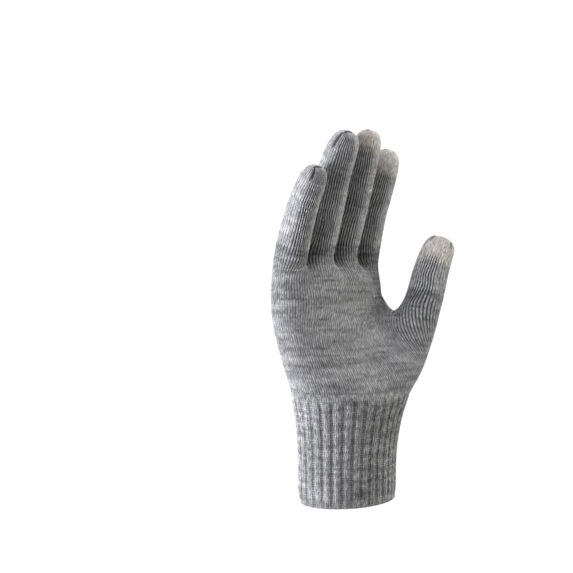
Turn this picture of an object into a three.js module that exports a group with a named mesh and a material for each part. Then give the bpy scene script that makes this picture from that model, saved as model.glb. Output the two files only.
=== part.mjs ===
// A fine-gauge knitted glove for the right hand, shaped as it is when worn: a ribbed cuff, a palm, five
// finger stalls, and pale yarn tips on the thumb, index and middle fingers. Every piece is one hollow layer of
// knitting.
//
// Frame, in millimetres: the origin is the middle of the wrist opening, +Z runs towards the fingertips, the
// palm faces -Y and the thumb is on the +X side.
//
// The hand is a cage of four-sided faces whose columns follow the columns of stitches. One step of
// Catmull-Clark subdivision rounds the cage, and each piece is then thickened inwards by the wall.
import * as THREE from "three";

// Fabric
const WALL = 1.8; // one layer of knitting
const JOIN_GAP = 0.3; // clearance between neighbouring pieces
const CUFF_HEIGHT = 68;

// Columns of the cage: each stall has four on its palm side and four on its back
const HALF_STALL = 4;
const PALM_HALF = 4 * HALF_STALL; // four fingers side by side
const HAND_HALF = PALM_HALF + HALF_STALL; // and the thumb beside them
const OCTAGON_SWELL = 1.1; // subdivision pulls an eight-sided ring in by about a tenth

// Cuff ribs
const RIB_COUNT = 32;
const RIB_RISE = 0.7; // how far a rib stands out from the middle of the fabric
const RIB_FADE = 5; // height over which the ribs die out below the palm
const RIB_SHAPE = [
  { at: 0.1, rise: 1 },
  { at: 0.5, rise: 1 },
  { at: 0.8, rise: -1 },
];

// Ovals of the wrist, from the opening to the foot of the palm
const CUFF_OVALS = [
  { z: 0, x: 0, y: 0, halfWidth: 35.0, halfDepth: 26.2 },
  { z: 11.3, x: 0, y: 0, halfWidth: 35.4, halfDepth: 26.5 },
  { z: 22.7, x: 0, y: 0, halfWidth: 35.5, halfDepth: 26.6 },
  { z: 34, x: 0.1, y: -0.1, halfWidth: 36.0, halfDepth: 27.0 },
  { z: 45.3, x: 0.6, y: -0.4, halfWidth: 37.4, halfDepth: 28.1 },
  { z: 56.7, x: 1.3, y: -0.7, halfWidth: 40.0, halfDepth: 29.4 },
  { z: CUFF_HEIGHT, x: 2.2, y: -1.3, halfWidth: 43.4, halfDepth: 32.4 },
];

// Sections through the palm and the root of the thumb. Each outline is the palm's oval run into the thumb's:
// it leaves the palm palmEnd degrees short of its thumb side and joins the thumb thumbStart degrees past its
// inner side, first on the palm side (front), then on the back. fullness squares an oval (2 is an ellipse),
// lean tips the thumb's oval square to the thumb, and settle moves the columns from even spacing to the thumb's
// own.
const HAND_SECTIONS = [
  {
    z: 79.5, settle: 0.1, lean: 0,
    front: { palmEnd: 84, thumbStart: 95 }, back: { palmEnd: 12, thumbStart: 88 },
    palm: { x: -1.2, y: 2.6, halfWidth: 43.5, halfDepth: 27.6, fullness: 2 },
    thumb: { x: 25, y: -11.3, z: 79.5, radius: 23.2 },
  },
  {
    z: 91, settle: 0.35, lean: 0.1,
    front: { palmEnd: 75, thumbStart: 80 }, back: { palmEnd: 15, thumbStart: 66 },
    palm: { x: -3.6, y: 5.7, halfWidth: 43.8, halfDepth: 24.7, fullness: 2.1 },
    thumb: { x: 33.3, y: -13.9, z: 91, radius: 20.8 },
  },
  {
    z: 102.5, settle: 0.7, lean: 0.3,
    front: { palmEnd: 58, thumbStart: 50 }, back: { palmEnd: 14, thumbStart: 46 },
    palm: { x: -5.5, y: 8.1, halfWidth: 44.4, halfDepth: 22.2, fullness: 2.2 },
    thumb: { x: 39.4, y: -16, z: 101.5, radius: 18.2 },
  },
  {
    z: 114, settle: 1, lean: 0.7,
    front: { palmEnd: 34, thumbStart: 30 }, back: { palmEnd: 8, thumbStart: 30 },
    palm: { x: -6.8, y: 10.4, halfWidth: 44.8, halfDepth: 20.2, fullness: 2.3 },
    thumb: { x: 45, y: -18.6, z: 112.5, radius: 15.8 },
  },
  {
    z: 125, settle: 1, lean: 1,
    front: { palmEnd: 0, thumbStart: 0 }, back: { palmEnd: 0, thumbStart: 0 },
    palm: { x: -6.2, y: 11.9, halfWidth: 46, halfDepth: 18.7, fullness: 2.4 },
    thumb: { x: 49.8, y: -21, z: 124, radius: 14 },
  },
];
const THUMB_CROTCH = { x: 41.2, y: -4.6, z: 119 };
const THUMB_OUTWARD = new THREE.Vector3(0.54, -0.84, 0).normalize(); // from the palm's edge across the thumb

// Sections of the four-finger palm above the thumb. groove is how far the cage dips between the fingers
const PALM_SECTIONS = [
  { z: 136, x: -5.8, y: 12.3, halfWidth: 46, halfDepth: 18.2, fullness: 2.4, groove: 0 },
  { z: 146.5, x: -6.6, y: 12.3, halfWidth: 44.2, halfDepth: 17.3, fullness: 2.4, groove: 2.5 },
];

// Fingers and thumb. rows counts the rings of the cage from root to tip and rootRow is the height of the first,
// where it differs from the rest; the points are the middle of the root, of two sections further up, and the
// tip; paleTip is the length knitted in the touch yarn.
const STALLS = [
  {
    name: "little_finger", rows: 5, paleTip: 0,
    points: [
      { x: -38.1, y: 13.6, z: 153.5, halfWidth: 10.4, halfDepth: 12.2 },
      { x: -37.4, y: 6.6, z: 178.0, halfWidth: 9.8, halfDepth: 11.2 },
      { x: -36.5, y: -1.4, z: 196.5, halfWidth: 9.4, halfDepth: 9.9 },
      { x: -36.2, y: -12.4, z: 211.5, halfWidth: 8.8, halfDepth: 8.8 },
    ],
  },
  {
    name: "ring_finger", rows: 7, paleTip: 0,
    points: [
      { x: -16.3, y: 12.6, z: 157.5, halfWidth: 10.1, halfDepth: 12.3 },
      { x: -15.6, y: 2.0, z: 187.0, halfWidth: 9.9, halfDepth: 11.0 },
      { x: -15.6, y: -3.8, z: 211.5, halfWidth: 9.8, halfDepth: 12.8 },
      { x: -15.0, y: -17.8, z: 234.8, halfWidth: 9.0, halfDepth: 9.6 },
    ],
  },
  {
    name: "middle_finger", rows: 7, paleTip: 18,
    points: [
      { x: 4.5, y: 12.2, z: 158.5, halfWidth: 10.1, halfDepth: 12.3 },
      { x: 5.2, y: -0.4, z: 192.5, halfWidth: 9.9, halfDepth: 11.0 },
      { x: 5.6, y: -7.3, z: 215.0, halfWidth: 9.6, halfDepth: 10.2 },
      { x: 6.0, y: -15.3, z: 238.6, halfWidth: 9.0, halfDepth: 9.2 },
    ],
  },
  {
    name: "index_finger", rows: 6, paleTip: 20,
    points: [
      { x: 25.4, y: 11.6, z: 156.0, halfWidth: 10.3, halfDepth: 12.2 },
      { x: 25.6, y: 3.6, z: 187.0, halfWidth: 10.0, halfDepth: 11.0 },
      { x: 27.6, y: -4.0, z: 207.5, halfWidth: 9.7, halfDepth: 10.2 },
      { x: 28.6, y: -10.1, z: 228.9, halfWidth: 9.0, halfDepth: 9.2 },
    ],
  },
];
const THUMB = {
  name: "thumb", rows: 6, rootRow: 5.5, paleTip: 19,
  points: [
    { x: 49.8, y: -21.0, z: 124.0, halfWidth: 12.6, halfDepth: 12.6 },
    { x: 53.9, y: -22.3, z: 141.0, halfWidth: 12.4, halfDepth: 12.0 },
    { x: 58.2, y: -23.8, z: 155.0, halfWidth: 11.6, halfDepth: 11.0 },
    { x: 64.4, y: -27.6, z: 171.2, halfWidth: 10.8, halfDepth: 10.0 },
  ],
};
const CROTCH_DROP = 3.5; // how far the cage of a crotch lies below the finger roots beside it
const PALM_REACH = 9; // half rows of a stall whose middle is nearer its root than this are part of the palm

// The rounded end of a stall: reach is the share of its end length, wide and deep are shares of its half widths
const TIP_RINGS = [
  { reach: 0.0, wide: 1.0, deep: 1.0 },
  { reach: 0.45, wide: 0.95, deep: 0.9 },
  { reach: 0.82, wide: 0.72, deep: 0.6 },
];
const TIP_LENGTH = 13; // from the last full ring to the tip

const vector = ({ x, y, z }) => new THREE.Vector3(x, y, z);
const mix = THREE.MathUtils.lerp;

// A point on an oval, at an angle that runs from the little-finger side through the palm side
function ovalPoint(oval, degrees, z) {
  const angle = THREE.MathUtils.degToRad(degrees);
  const swell = (value) => Math.sign(value) * Math.abs(value) ** (2 / (oval.fullness ?? 2));
  return new THREE.Vector3(
    oval.x - oval.halfWidth * swell(Math.cos(angle)),
    oval.y - oval.halfDepth * swell(Math.sin(angle)),
    z,
  );
}

// Angles that divide an oval into equal lengths, starting from the little-finger side
function evenAngles(oval, count) {
  const STEPS = 720;
  const lengths = [0];
  for (let i = 1; i <= STEPS; i++) {
    const before = ovalPoint(oval, (360 * (i - 1)) / STEPS, 0);
    lengths.push(lengths[i - 1] + before.distanceTo(ovalPoint(oval, (360 * i) / STEPS, 0)));
  }
  const angles = [];
  for (let k = 0, i = 0; k < count; k++) {
    const wanted = (lengths[STEPS] * k) / count;
    while (lengths[i + 1] < wanted) i++;
    angles.push((360 * (i + (wanted - lengths[i]) / (lengths[i + 1] - lengths[i]))) / STEPS);
  }
  return angles;
}

function evenRing(oval, count, z) {
  return evenAngles(oval, count).map((degrees) => ovalPoint(oval, degrees, z));
}

// The root of the thumb: an oval square to the thumb, or level, by its lean
function thumbPoint(section, degrees) {
  const axis = vector(THUMB.points[1]).sub(vector(THUMB.points[0])).normalize();
  const up = new THREE.Vector3(0, 0, 1).lerp(axis, section.lean).normalize();
  const outward = THUMB_OUTWARD.clone().addScaledVector(up, -THUMB_OUTWARD.dot(up)).normalize();
  const back = up.clone().cross(outward);
  const angle = THREE.MathUtils.degToRad(degrees);
  return vector(section.thumb)
    .addScaledVector(outward, -section.thumb.radius * Math.cos(angle))
    .addScaledVector(back, -section.thumb.radius * Math.sin(angle));
}

// Running lengths along a line of points, and the point at one of them
function runningLengths(line) {
  const lengths = [0];
  for (let i = 1; i < line.length; i++) lengths.push(lengths[i - 1] + line[i].distanceTo(line[i - 1]));
  return lengths;
}

function pointAlong(line, lengths, wanted) {
  const found = lengths.findIndex((length) => length >= wanted);
  const i = Math.max(found < 0 ? lengths.length - 1 : found, 1);
  return line[i - 1].clone().lerp(line[i], (wanted - lengths[i - 1]) / (lengths[i] - lengths[i - 1]));
}

// One half, palm side (1) or back (-1), of the outline of a section through the palm and the thumb's root, and
// the length at which its columns part between the two
function outlineHalf(section, side) {
  const { palmEnd, thumbStart } = side > 0 ? section.front : section.back;
  const ARC_STEPS = 40;
  const palmArc = [];
  const thumbArc = [];
  for (let i = 0; i <= ARC_STEPS; i++) {
    palmArc.push(ovalPoint(section.palm, (side * (180 - palmEnd) * i) / ARC_STEPS, section.z));
    thumbArc.push(thumbPoint(section, side * mix(thumbStart, 180, i / ARC_STEPS)));
  }
  const line = [...palmArc, ...thumbArc];
  const lengths = runningLengths(line);
  return { line, fork: mix(lengths[ARC_STEPS], lengths[ARC_STEPS + 1], 0.5), whole: lengths.at(-1) };
}

// A ring of the cage: palm side outwards, then the back of the hand home again
function handRing(section) {
  const front = outlineHalf(section, 1);
  const back = outlineHalf(section, -1);
  const line = [...front.line, ...back.line.toReversed().slice(1)];
  const lengths = runningLengths(line);
  const whole = lengths.at(-1);
  const anchors = [
    { column: 0, at: 0 },
    { column: PALM_HALF, at: front.fork },
    { column: HAND_HALF, at: front.whole },
    { column: 2 * HAND_HALF - PALM_HALF, at: whole - back.fork },
    { column: 2 * HAND_HALF, at: whole },
  ];
  const ring = [];
  for (let column = 0; column < 2 * HAND_HALF; column++) {
    const i = anchors.findIndex((anchor) => anchor.column > column);
    const [before, after] = [anchors[i - 1], anchors[i]];
    const share = (column - before.column) / (after.column - before.column);
    const even = (whole * column) / (2 * HAND_HALF);
    ring.push(pointAlong(line, lengths, mix(even, mix(before.at, after.at, share), section.settle)));
  }
  if (section === HAND_SECTIONS.at(-1)) {
    ring[PALM_HALF] = vector(THUMB_CROTCH);
    ring[2 * HAND_HALF - PALM_HALF] = ring[PALM_HALF];
  }
  return ring;
}

function palmRing(section) {
  const ring = evenRing(section, 2 * PALM_HALF, section.z);
  ring.forEach((point, k) => {
    const between = k % HALF_STALL === 0 && k % PALM_HALF !== 0;
    if (between) point.y += k < PALM_HALF ? section.groove : -section.groove;
  });
  return ring;
}

// The middle line of a stall as a smooth curve, with its widths read at the same share of its length
class Stall {
  constructor(row, outward) {
    this.row = row;
    this.outward = outward;
    this.curve = new THREE.CatmullRomCurve3(row.points.map(vector), false, "centripetal");
    this.length = this.curve.getLength();
    const knots = row.points.map((point) => vector(point));
    const spans = knots.slice(1).map((knot, i) => knot.distanceTo(knots[i]));
    const whole = spans.reduce((sum, span) => sum + span, 0);
    this.shares = [0];
    for (const span of spans) this.shares.push(this.shares.at(-1) + span / whole);
  }

  // Half width and half depth at a share of the length
  widths(share) {
    const i = Math.min(Math.max(this.shares.findIndex((s) => s >= share), 1), this.shares.length - 1);
    const t = (share - this.shares[i - 1]) / (this.shares[i] - this.shares[i - 1]);
    const [low, high] = [this.row.points[i - 1], this.row.points[i]];
    return [mix(low.halfWidth, high.halfWidth, t), mix(low.halfDepth, high.halfDepth, t)];
  }

  // Eight cage points round the stall, from the little-finger side through the palm side
  ring(distance, wide = 1, deep = 1) {
    const share = Math.min(distance / this.length, 1);
    const centre = this.curve.getPointAt(share);
    const along = this.curve.getTangentAt(share);
    const across = this.outward.clone().addScaledVector(along, -this.outward.dot(along)).normalize();
    const back = along.clone().cross(across);
    const [halfWidth, halfDepth] = this.widths(share);
    const points = [];
    for (let k = 0; k < 2 * HALF_STALL; k++) {
      const angle = (Math.PI * k) / HALF_STALL;
      points.push(
        centre
          .clone()
          .addScaledVector(across, -halfWidth * wide * OCTAGON_SWELL * Math.cos(angle))
          .addScaledVector(back, -halfDepth * deep * OCTAGON_SWELL * Math.sin(angle)),
      );
    }
    return points;
  }

  // Every ring above the root, then the tip
  rings() {
    const straight = this.length - TIP_LENGTH;
    const full = this.row.rows - TIP_RINGS.length;
    const first = this.row.rootRow ?? straight / (full + 1);
    const rings = [];
    for (let i = 0; i < full; i++) rings.push(this.ring(mix(first, straight, i / full)));
    for (const { reach, wide, deep } of TIP_RINGS) {
      rings.push(this.ring(straight + TIP_LENGTH * reach, wide, deep));
    }
    return rings;
  }

  tip() {
    return this.curve.getPointAt(1);
  }
}

// The cage: shared points, and faces that know which piece their lower and upper halves belong to
class Cage {
  constructor() {
    this.faces = [];
  }

  band(lower, upper, low, high = low) {
    const count = lower.length;
    for (let k = 0; k < count; k++) {
      const next = (k + 1) % count;
      this.faces.push({ corners: [lower[k], lower[next], upper[next], upper[k]], low, high });
    }
  }

  // Closes an eight-sided ring over one tip point
  cap(ring, tip, piece) {
    for (let k = 0; k < ring.length; k += 2) {
      const corners = [ring[k], ring[k + 1], ring[(k + 2) % ring.length], tip];
      this.faces.push({ corners, low: piece, high: piece });
    }
  }

  // The foot of the stall belongs to the palm, and the pale tip takes the nearest whole half rows
  stall(row, outward, root) {
    const stall = new Stall(row, outward);
    const rings = [root, ...stall.rings()];
    const tipName = row.paleTip > 0 ? row.name.replace("_finger", "") + "_tip" : row.name;
    const tip = stall.tip();
    const middle = (ring) => ring.reduce((sum, p) => sum.add(p), new THREE.Vector3()).divideScalar(ring.length);
    const pieceAt = (lower, upper, share) => {
      const centre = middle(lower).lerp(middle(upper), share);
      if (centre.distanceTo(vector(row.points[0])) < PALM_REACH) return "palm";
      return centre.distanceTo(tip) < row.paleTip ? tipName : row.name;
    };
    for (let i = 1; i < rings.length; i++) {
      const [lower, upper] = [rings[i - 1], rings[i]];
      this.band(lower, upper, pieceAt(lower, upper, 0.25), pieceAt(lower, upper, 0.75));
    }
    this.cap(rings.at(-1), tip, tipName);
  }
}

function buildCage() {
  const cage = new Cage();
  const wrist = CUFF_OVALS.map((oval) => evenRing(oval, 2 * HAND_HALF, oval.z));
  for (let i = 1; i < wrist.length; i++) cage.band(wrist[i - 1], wrist[i], "cuff");

  const hand = [wrist.at(-1), ...HAND_SECTIONS.map(handRing)];
  for (let i = 1; i < hand.length; i++) cage.band(hand[i - 1], hand[i], "palm");

  // At the thumb's crotch the ring parts into the palm's ring and the thumb's
  const top = hand.at(-1);
  const backOf = (column, half) => 2 * half - column;
  const thumbRoot = top.slice(PALM_HALF, backOf(PALM_HALF, HAND_HALF));
  const palmRoot = [...top.slice(0, PALM_HALF + 1), ...top.slice(backOf(PALM_HALF, HAND_HALF) + 1)];
  cage.stall(THUMB, THUMB_OUTWARD, thumbRoot);

  const palm = [palmRoot, ...PALM_SECTIONS.map(palmRing)];
  const outward = new THREE.Vector3(1, 0, 0);
  const roots = STALLS.map((row) => new Stall(row, outward).ring(0));
  for (let i = 1; i < roots.length; i++) {
    const crotch = roots[i][0].clone().lerp(roots[i - 1][HALF_STALL], 0.5);
    crotch.z -= CROTCH_DROP;
    roots[i][0] = crotch;
    roots[i - 1][HALF_STALL] = crotch;
  }
  const front = roots.flatMap((root, i) => root.slice(0, i === 3 ? HALF_STALL + 1 : HALF_STALL));
  const rear = roots
    .toReversed()
    .flatMap((root, i) => (i === 0 ? root.slice(HALF_STALL + 1) : root.slice(HALF_STALL)));
  palm.push([...front, ...rear]);
  for (let i = 1; i < palm.length; i++) cage.band(palm[i - 1], palm[i], "palm");
  STALLS.forEach((row, i) => cage.stall(row, outward, roots[i]));
  return cage;
}

// One step of Catmull-Clark subdivision, with every new point then moved to the limit surface
function subdivide(faces) {
  const points = [];
  const indexOf = new Map();
  const indexed = faces.map((face) =>
    face.corners.map((corner) => {
      if (!indexOf.has(corner)) indexOf.set(corner, points.push(corner) - 1);
      return indexOf.get(corner);
    }),
  );
  const smooth = points.map((point) => point.clone());
  const edges = new Map();
  const centres = [];
  const around = points.map(() => ({ faces: [], edges: [], rim: [] }));
  indexed.forEach((corners, f) => {
    const sum = new THREE.Vector3();
    corners.forEach((corner) => sum.add(points[corner]));
    const centre = smooth.push(sum.divideScalar(4)) - 1;
    centres.push(centre);
    corners.forEach((corner, k) => {
      const next = corners[(k + 1) % 4];
      const key = Math.min(corner, next) + "_" + Math.max(corner, next);
      if (!edges.has(key)) edges.set(key, { ends: [corner, next], centres: [] });
      edges.get(key).centres.push(centre);
      around[corner].faces.push(centre);
    });
  });
  for (const edge of edges.values()) {
    const [a, b] = edge.ends;
    const middle = points[a].clone().lerp(points[b], 0.5);
    edge.middle = middle.clone();
    if (edge.centres.length === 2) {
      const across = smooth[edge.centres[0]].clone().lerp(smooth[edge.centres[1]], 0.5);
      middle.lerp(across, 0.5);
    } else {
      around[a].rim.push(b);
      around[b].rim.push(a);
    }
    edge.point = smooth.push(middle) - 1;
    around[a].edges.push(edge);
    around[b].edges.push(edge);
  }
  around.forEach((near, i) => {
    const mean = (vectors) =>
      vectors.reduce((sum, v) => sum.add(v), new THREE.Vector3()).divideScalar(vectors.length);
    if (near.rim.length) {
      const ends = mean(near.rim.map((end) => points[end]));
      smooth[i].copy(points[i]).lerp(ends, 0.25);
      return;
    }
    const n = near.faces.length;
    const faceMean = mean(near.faces.map((centre) => smooth[centre]));
    const edgeMean = mean(near.edges.map((edge) => edge.middle));
    smooth[i].copy(points[i]).multiplyScalar((n - 3) / n);
    smooth[i].addScaledVector(faceMean, 1 / n).addScaledVector(edgeMean, 2 / n);
  });
  const quads = [];
  indexed.forEach((corners, f) => {
    const side = corners.map((corner, k) => {
      const next = corners[(k + 1) % 4];
      return edges.get(Math.min(corner, next) + "_" + Math.max(corner, next)).point;
    });
    corners.forEach((corner, k) => {
      const quad = [corner, side[k], centres[f], side[(k + 3) % 4]];
      quads.push({ corners: quad, piece: k < 2 ? faces[f].low : faces[f].high });
    });
  });
  return { points: limitPoints(smooth, quads), quads };
}

// Moves each inner point of a subdivided mesh to where endless subdivision would take it
function limitPoints(points, quads) {
  const around = points.map(() => ({ edge: new Map(), far: new THREE.Vector3(), count: 0 }));
  for (const { corners } of quads) {
    corners.forEach((corner, k) => {
      const near = around[corner];
      near.far.add(points[corners[(k + 2) % 4]]);
      near.count += 1;
      for (const other of [corners[(k + 1) % 4], corners[(k + 3) % 4]]) {
        near.edge.set(other, (near.edge.get(other) ?? 0) + 1);
      }
    });
  }
  return points.map((point, i) => {
    const near = around[i];
    if ([...near.edge.values()].some((uses) => uses === 1)) return point.clone();
    const n = near.count;
    const limit = point.clone().multiplyScalar(n * n).add(near.far);
    for (const other of near.edge.keys()) limit.addScaledVector(points[other], 4);
    return limit.divideScalar(n * (n + 5));
  });
}

function pointNormals(points, quads) {
  const normals = points.map(() => new THREE.Vector3());
  for (const { corners } of quads) {
    const [a, b, c, d] = corners.map((corner) => points[corner]);
    const normal = c.clone().sub(a).cross(d.clone().sub(b));
    corners.forEach((corner) => normals[corner].add(normal));
  }
  return normals.map((normal) => normal.normalize());
}

// Two layers of four-sided faces, closed along their rims, as one solid mesh
function closedShell(outer, inner, quads) {
  const triangles = [];
  const count = outer.length;
  const face = (a, b, c, d) => triangles.push(a, b, c, a, c, d);
  const directed = new Set();
  for (const [a, b, c, d] of quads) {
    face(a, b, c, d);
    face(d + count, c + count, b + count, a + count);
    for (const [from, to] of [[a, b], [b, c], [c, d], [d, a]]) directed.add(from + "_" + to);
  }
  for (const key of directed) {
    const [from, to] = key.split("_").map(Number);
    if (!directed.has(to + "_" + from)) face(to, from, from + count, to + count);
  }
  const geometry = new THREE.BufferGeometry();
  const positions = [...outer, ...inner].flatMap((point) => point.toArray());
  geometry.setAttribute("position", new THREE.Float32BufferAttribute(positions, 3));
  geometry.setIndex(triangles);
  geometry.computeVertexNormals();
  return geometry;
}

// One piece of the subdivided hand, thickened inwards, with its rims drawn back by half the join gap
function pieceOf(name, points, normals, quads) {
  const own = quads.filter((quad) => quad.piece === name);
  const numbers = new Map();
  for (const { corners } of own) {
    for (const corner of corners) if (!numbers.has(corner)) numbers.set(corner, numbers.size);
  }
  const neighbours = new Map([...numbers.keys()].map((corner) => [corner, new Map()]));
  for (const { corners } of own) {
    corners.forEach((corner, k) => {
      for (const other of [corners[(k + 1) % 4], corners[(k + 3) % 4]]) {
        const near = neighbours.get(corner);
        near.set(other, (near.get(other) ?? 0) + 1);
      }
    });
  }
  const onRim = (corner) => [...neighbours.get(corner).values()].includes(1);
  const outer = [];
  const inner = [];
  for (const corner of numbers.keys()) {
    const point = points[corner].clone();
    if (onRim(corner)) {
      const inward = [...neighbours.get(corner).keys()].find((other) => !onRim(other));
      const step = points[inward].clone().sub(point).setLength(JOIN_GAP / 2);
      point.add(step);
    }
    outer.push(point);
    inner.push(point.clone().addScaledVector(normals[corner], -WALL));
  }
  const faces = own.map(({ corners }) => corners.map((corner) => numbers.get(corner)));
  return closedShell(outer, inner, faces);
}

// The cuff follows the same wrist ovals, with raised and sunken ribs that die out at the palm
function cuffGeometry() {
  const EDGE_ROUND = 1; // the opening's edge turns in by this much
  const heights = [
    { z: 0, tuck: EDGE_ROUND },
    { z: EDGE_ROUND, tuck: 0 },
    { z: CUFF_OVALS[3].z, tuck: 0 },
    { z: CUFF_OVALS[4].z, tuck: 0 },
    { z: CUFF_HEIGHT - RIB_FADE, tuck: 0 },
    { z: CUFF_HEIGHT - JOIN_GAP / 2, tuck: 0 },
  ];
  const columns = RIB_COUNT * RIB_SHAPE.length;
  const outer = [];
  const inner = [];
  for (const { z, tuck } of heights) {
    const i = Math.min(Math.max(CUFF_OVALS.findIndex((oval) => oval.z >= z), 1), CUFF_OVALS.length - 1);
    const [low, high] = [CUFF_OVALS[i - 1], CUFF_OVALS[i]];
    const t = (z - low.z) / (high.z - low.z);
    const oval = {};
    for (const key of ["x", "y", "halfWidth", "halfDepth"]) oval[key] = mix(low[key], high[key], t);
    const fade = Math.min((CUFF_HEIGHT - z) / RIB_FADE, 1);
    const angles = evenAngles(oval, columns * 4);
    for (let k = 0; k < columns; k++) {
      const { at, rise } = RIB_SHAPE[k % RIB_SHAPE.length];
      const place = (Math.floor(k / RIB_SHAPE.length) + at) / RIB_COUNT;
      const degrees = angles[Math.round(place * columns * 4) % (columns * 4)];
      const out = new THREE.Vector3(
        -oval.halfDepth * Math.cos(THREE.MathUtils.degToRad(degrees)),
        -oval.halfWidth * Math.sin(THREE.MathUtils.degToRad(degrees)),
        0,
      ).normalize();
      const base = ovalPoint(oval, degrees, z).addScaledVector(out, RIB_RISE * rise * fade);
      outer.push(base.clone().addScaledVector(out, -tuck * 0.5));
      inner.push(base.clone().addScaledVector(out, tuck * 0.3 - WALL));
    }
  }
  const quads = [];
  for (let row = 0; row < heights.length - 1; row++) {
    for (let k = 0; k < columns; k++) {
      const next = (k + 1) % columns;
      const start = row * columns;
      quads.push([start + k, start + next, start + columns + next, start + columns + k]);
    }
  }
  return closedShell(outer, inner, quads);
}

// Materials
const greyYarn = new THREE.MeshStandardMaterial({ color: 0x8c8c8f, roughness: 0.95, metalness: 0 });
const ribYarn = new THREE.MeshStandardMaterial({ color: 0x86868a, roughness: 0.95, metalness: 0 });
const paleYarn = new THREE.MeshStandardMaterial({ color: 0xb5b1ab, roughness: 0.9, metalness: 0 });

// Assembly
const glove = new THREE.Group();

function add(name, geometry, material) {
  const mesh = new THREE.Mesh(geometry, material);
  mesh.name = name;
  glove.add(mesh);
}

const { points, quads } = subdivide(buildCage().faces);
const normals = pointNormals(points, quads);
add("cuff", cuffGeometry(), ribYarn);
add("palm", pieceOf("palm", points, normals, quads), greyYarn);
for (const { name, paleTip } of [...STALLS, THUMB]) {
  add(name, pieceOf(name, points, normals, quads), greyYarn);
  if (paleTip > 0) {
    const tipName = name.replace("_finger", "") + "_tip";
    add(tipName, pieceOf(tipName, points, normals, quads), paleYarn);
  }
}

export default glove;
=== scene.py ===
"""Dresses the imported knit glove: every stitch as a mesh, heather yarn finishes, a pale studio and a camera.

The glove is one layer of fine knitting. Its form is a cage of four-sided faces whose columns follow the
columns of stitches. The solids have the same cage, and here it is subdivided three times. Rows of V-shaped
stitches are then laid over it. Lengths are millimetres until a mesh is made, and metres in Blender.

A wale is a column of stitches, a course is a row of them, and a stall is the tube for a finger or the thumb.
"""

from __future__ import annotations

import logging
import math
from dataclasses import dataclass, field
from enum import Enum

import bmesh
import bpy
import numpy as np
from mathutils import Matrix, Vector

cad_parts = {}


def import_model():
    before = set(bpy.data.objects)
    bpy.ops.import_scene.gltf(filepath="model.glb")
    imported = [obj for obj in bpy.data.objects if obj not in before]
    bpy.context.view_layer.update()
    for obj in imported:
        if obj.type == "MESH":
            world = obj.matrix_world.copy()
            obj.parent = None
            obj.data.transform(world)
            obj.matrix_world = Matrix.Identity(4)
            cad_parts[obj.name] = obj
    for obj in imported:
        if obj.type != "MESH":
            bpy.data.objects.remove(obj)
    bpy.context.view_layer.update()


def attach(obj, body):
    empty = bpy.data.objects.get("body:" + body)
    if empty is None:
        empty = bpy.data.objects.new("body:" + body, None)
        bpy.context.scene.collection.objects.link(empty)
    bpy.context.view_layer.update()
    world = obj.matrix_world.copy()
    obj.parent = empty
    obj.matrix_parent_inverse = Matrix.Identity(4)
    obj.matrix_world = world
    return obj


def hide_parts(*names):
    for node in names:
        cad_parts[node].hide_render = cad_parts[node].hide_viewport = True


log = logging.getLogger("glove")

MM = 0.001

HALF_STALL = 4  # cage columns on the palm side of one stall
PALM_HALF = 4 * HALF_STALL
HAND_HALF = PALM_HALF + HALF_STALL
OCTAGON_SWELL = 1.1  # subdivision pulls an eight-sided ring in by about a tenth
OVAL_STEPS = 720  # steps by which the length round an oval is measured
CURVE_STEPS = 80  # steps along a stall's middle line from one of its points to the next
OUTLINE_STEPS = 40  # steps along the palm's half, or the thumb's half, of an outline
LEVELS = 3
FINE = 2**LEVELS  # fine cells along one side of a cage face
WALES_PER_COLUMN = 4
POINTS_PER_WALE = 4
WALL = 1.8
WELD = 0.002  # points closer together than this are one


class Knit(Enum):
    """How a stretch is knitted."""

    PLAIN = "plain"
    RIB = "rib"


class Side(Enum):
    """Which way a face of a piece looks; the value is its number in the mesh."""

    OUTSIDE = 0
    INSIDE = 1
    RIM = 2


@dataclass(frozen=True)
class Oval:
    """A level section, in millimetres. fullness squares it, and groove dips it between the fingers."""

    x: float
    y: float
    z: float
    half_width: float
    half_depth: float
    fullness: float = 2.0
    groove: float = 0.0

    def centre(self) -> np.ndarray:
        """The middle of the section."""
        return np.array([self.x, self.y, self.z])

    def points(self, degrees: np.ndarray) -> np.ndarray:
        """Points on the oval, at angles that run from the little-finger side through the palm side.

        Args:
            degrees: the angles, (n,).

        Returns:
            The points, (n, 3).
        """
        angle = np.radians(degrees)

        def squared(value: np.ndarray) -> np.ndarray:
            """Squares a sine or cosine by the oval's fullness."""
            return np.sign(value) * np.abs(value) ** (2 / self.fullness)

        return np.stack(
            [
                self.x - self.half_width * squared(np.cos(angle)),
                self.y - self.half_depth * squared(np.sin(angle)),
                np.full(angle.shape, self.z),
            ],
            axis=-1,
        )

    def ring(self, count: int) -> np.ndarray:
        """Points at equal lengths round the oval, with any grooves between the fingers.

        Args:
            count: how many points.

        Returns:
            The points, (count, 3).
        """
        degrees = np.linspace(0, 360, OVAL_STEPS + 1)
        lengths = running_lengths(self.points(degrees))
        ring = self.points(np.interp(lengths[-1] * np.arange(count) / count, lengths, degrees))
        for k in range(HALF_STALL, count, HALF_STALL):
            if k % PALM_HALF:
                ring[k, 1] += self.groove if k < PALM_HALF else -self.groove
        return ring


@dataclass(frozen=True)
class Fork:
    """Where one side of an outline leaves the palm's oval and joins the thumb's, in degrees."""

    palm_end: float
    thumb_start: float


@dataclass(frozen=True)
class HandSection:
    """A section through the palm and the root of the thumb, in millimetres."""

    settle: float  # how far the columns have moved from even spacing to their places round palm and thumb
    lean: float  # how far the thumb's part is tilted square to the thumb
    front: Fork
    back: Fork
    palm: Oval
    thumb: tuple[float, float, float]
    thumb_radius: float


@dataclass(frozen=True)
class Crease:
    """A fold that runs down from a closed tip: which way it faces, in degrees, and its courses."""

    degrees: float
    down: float


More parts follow.
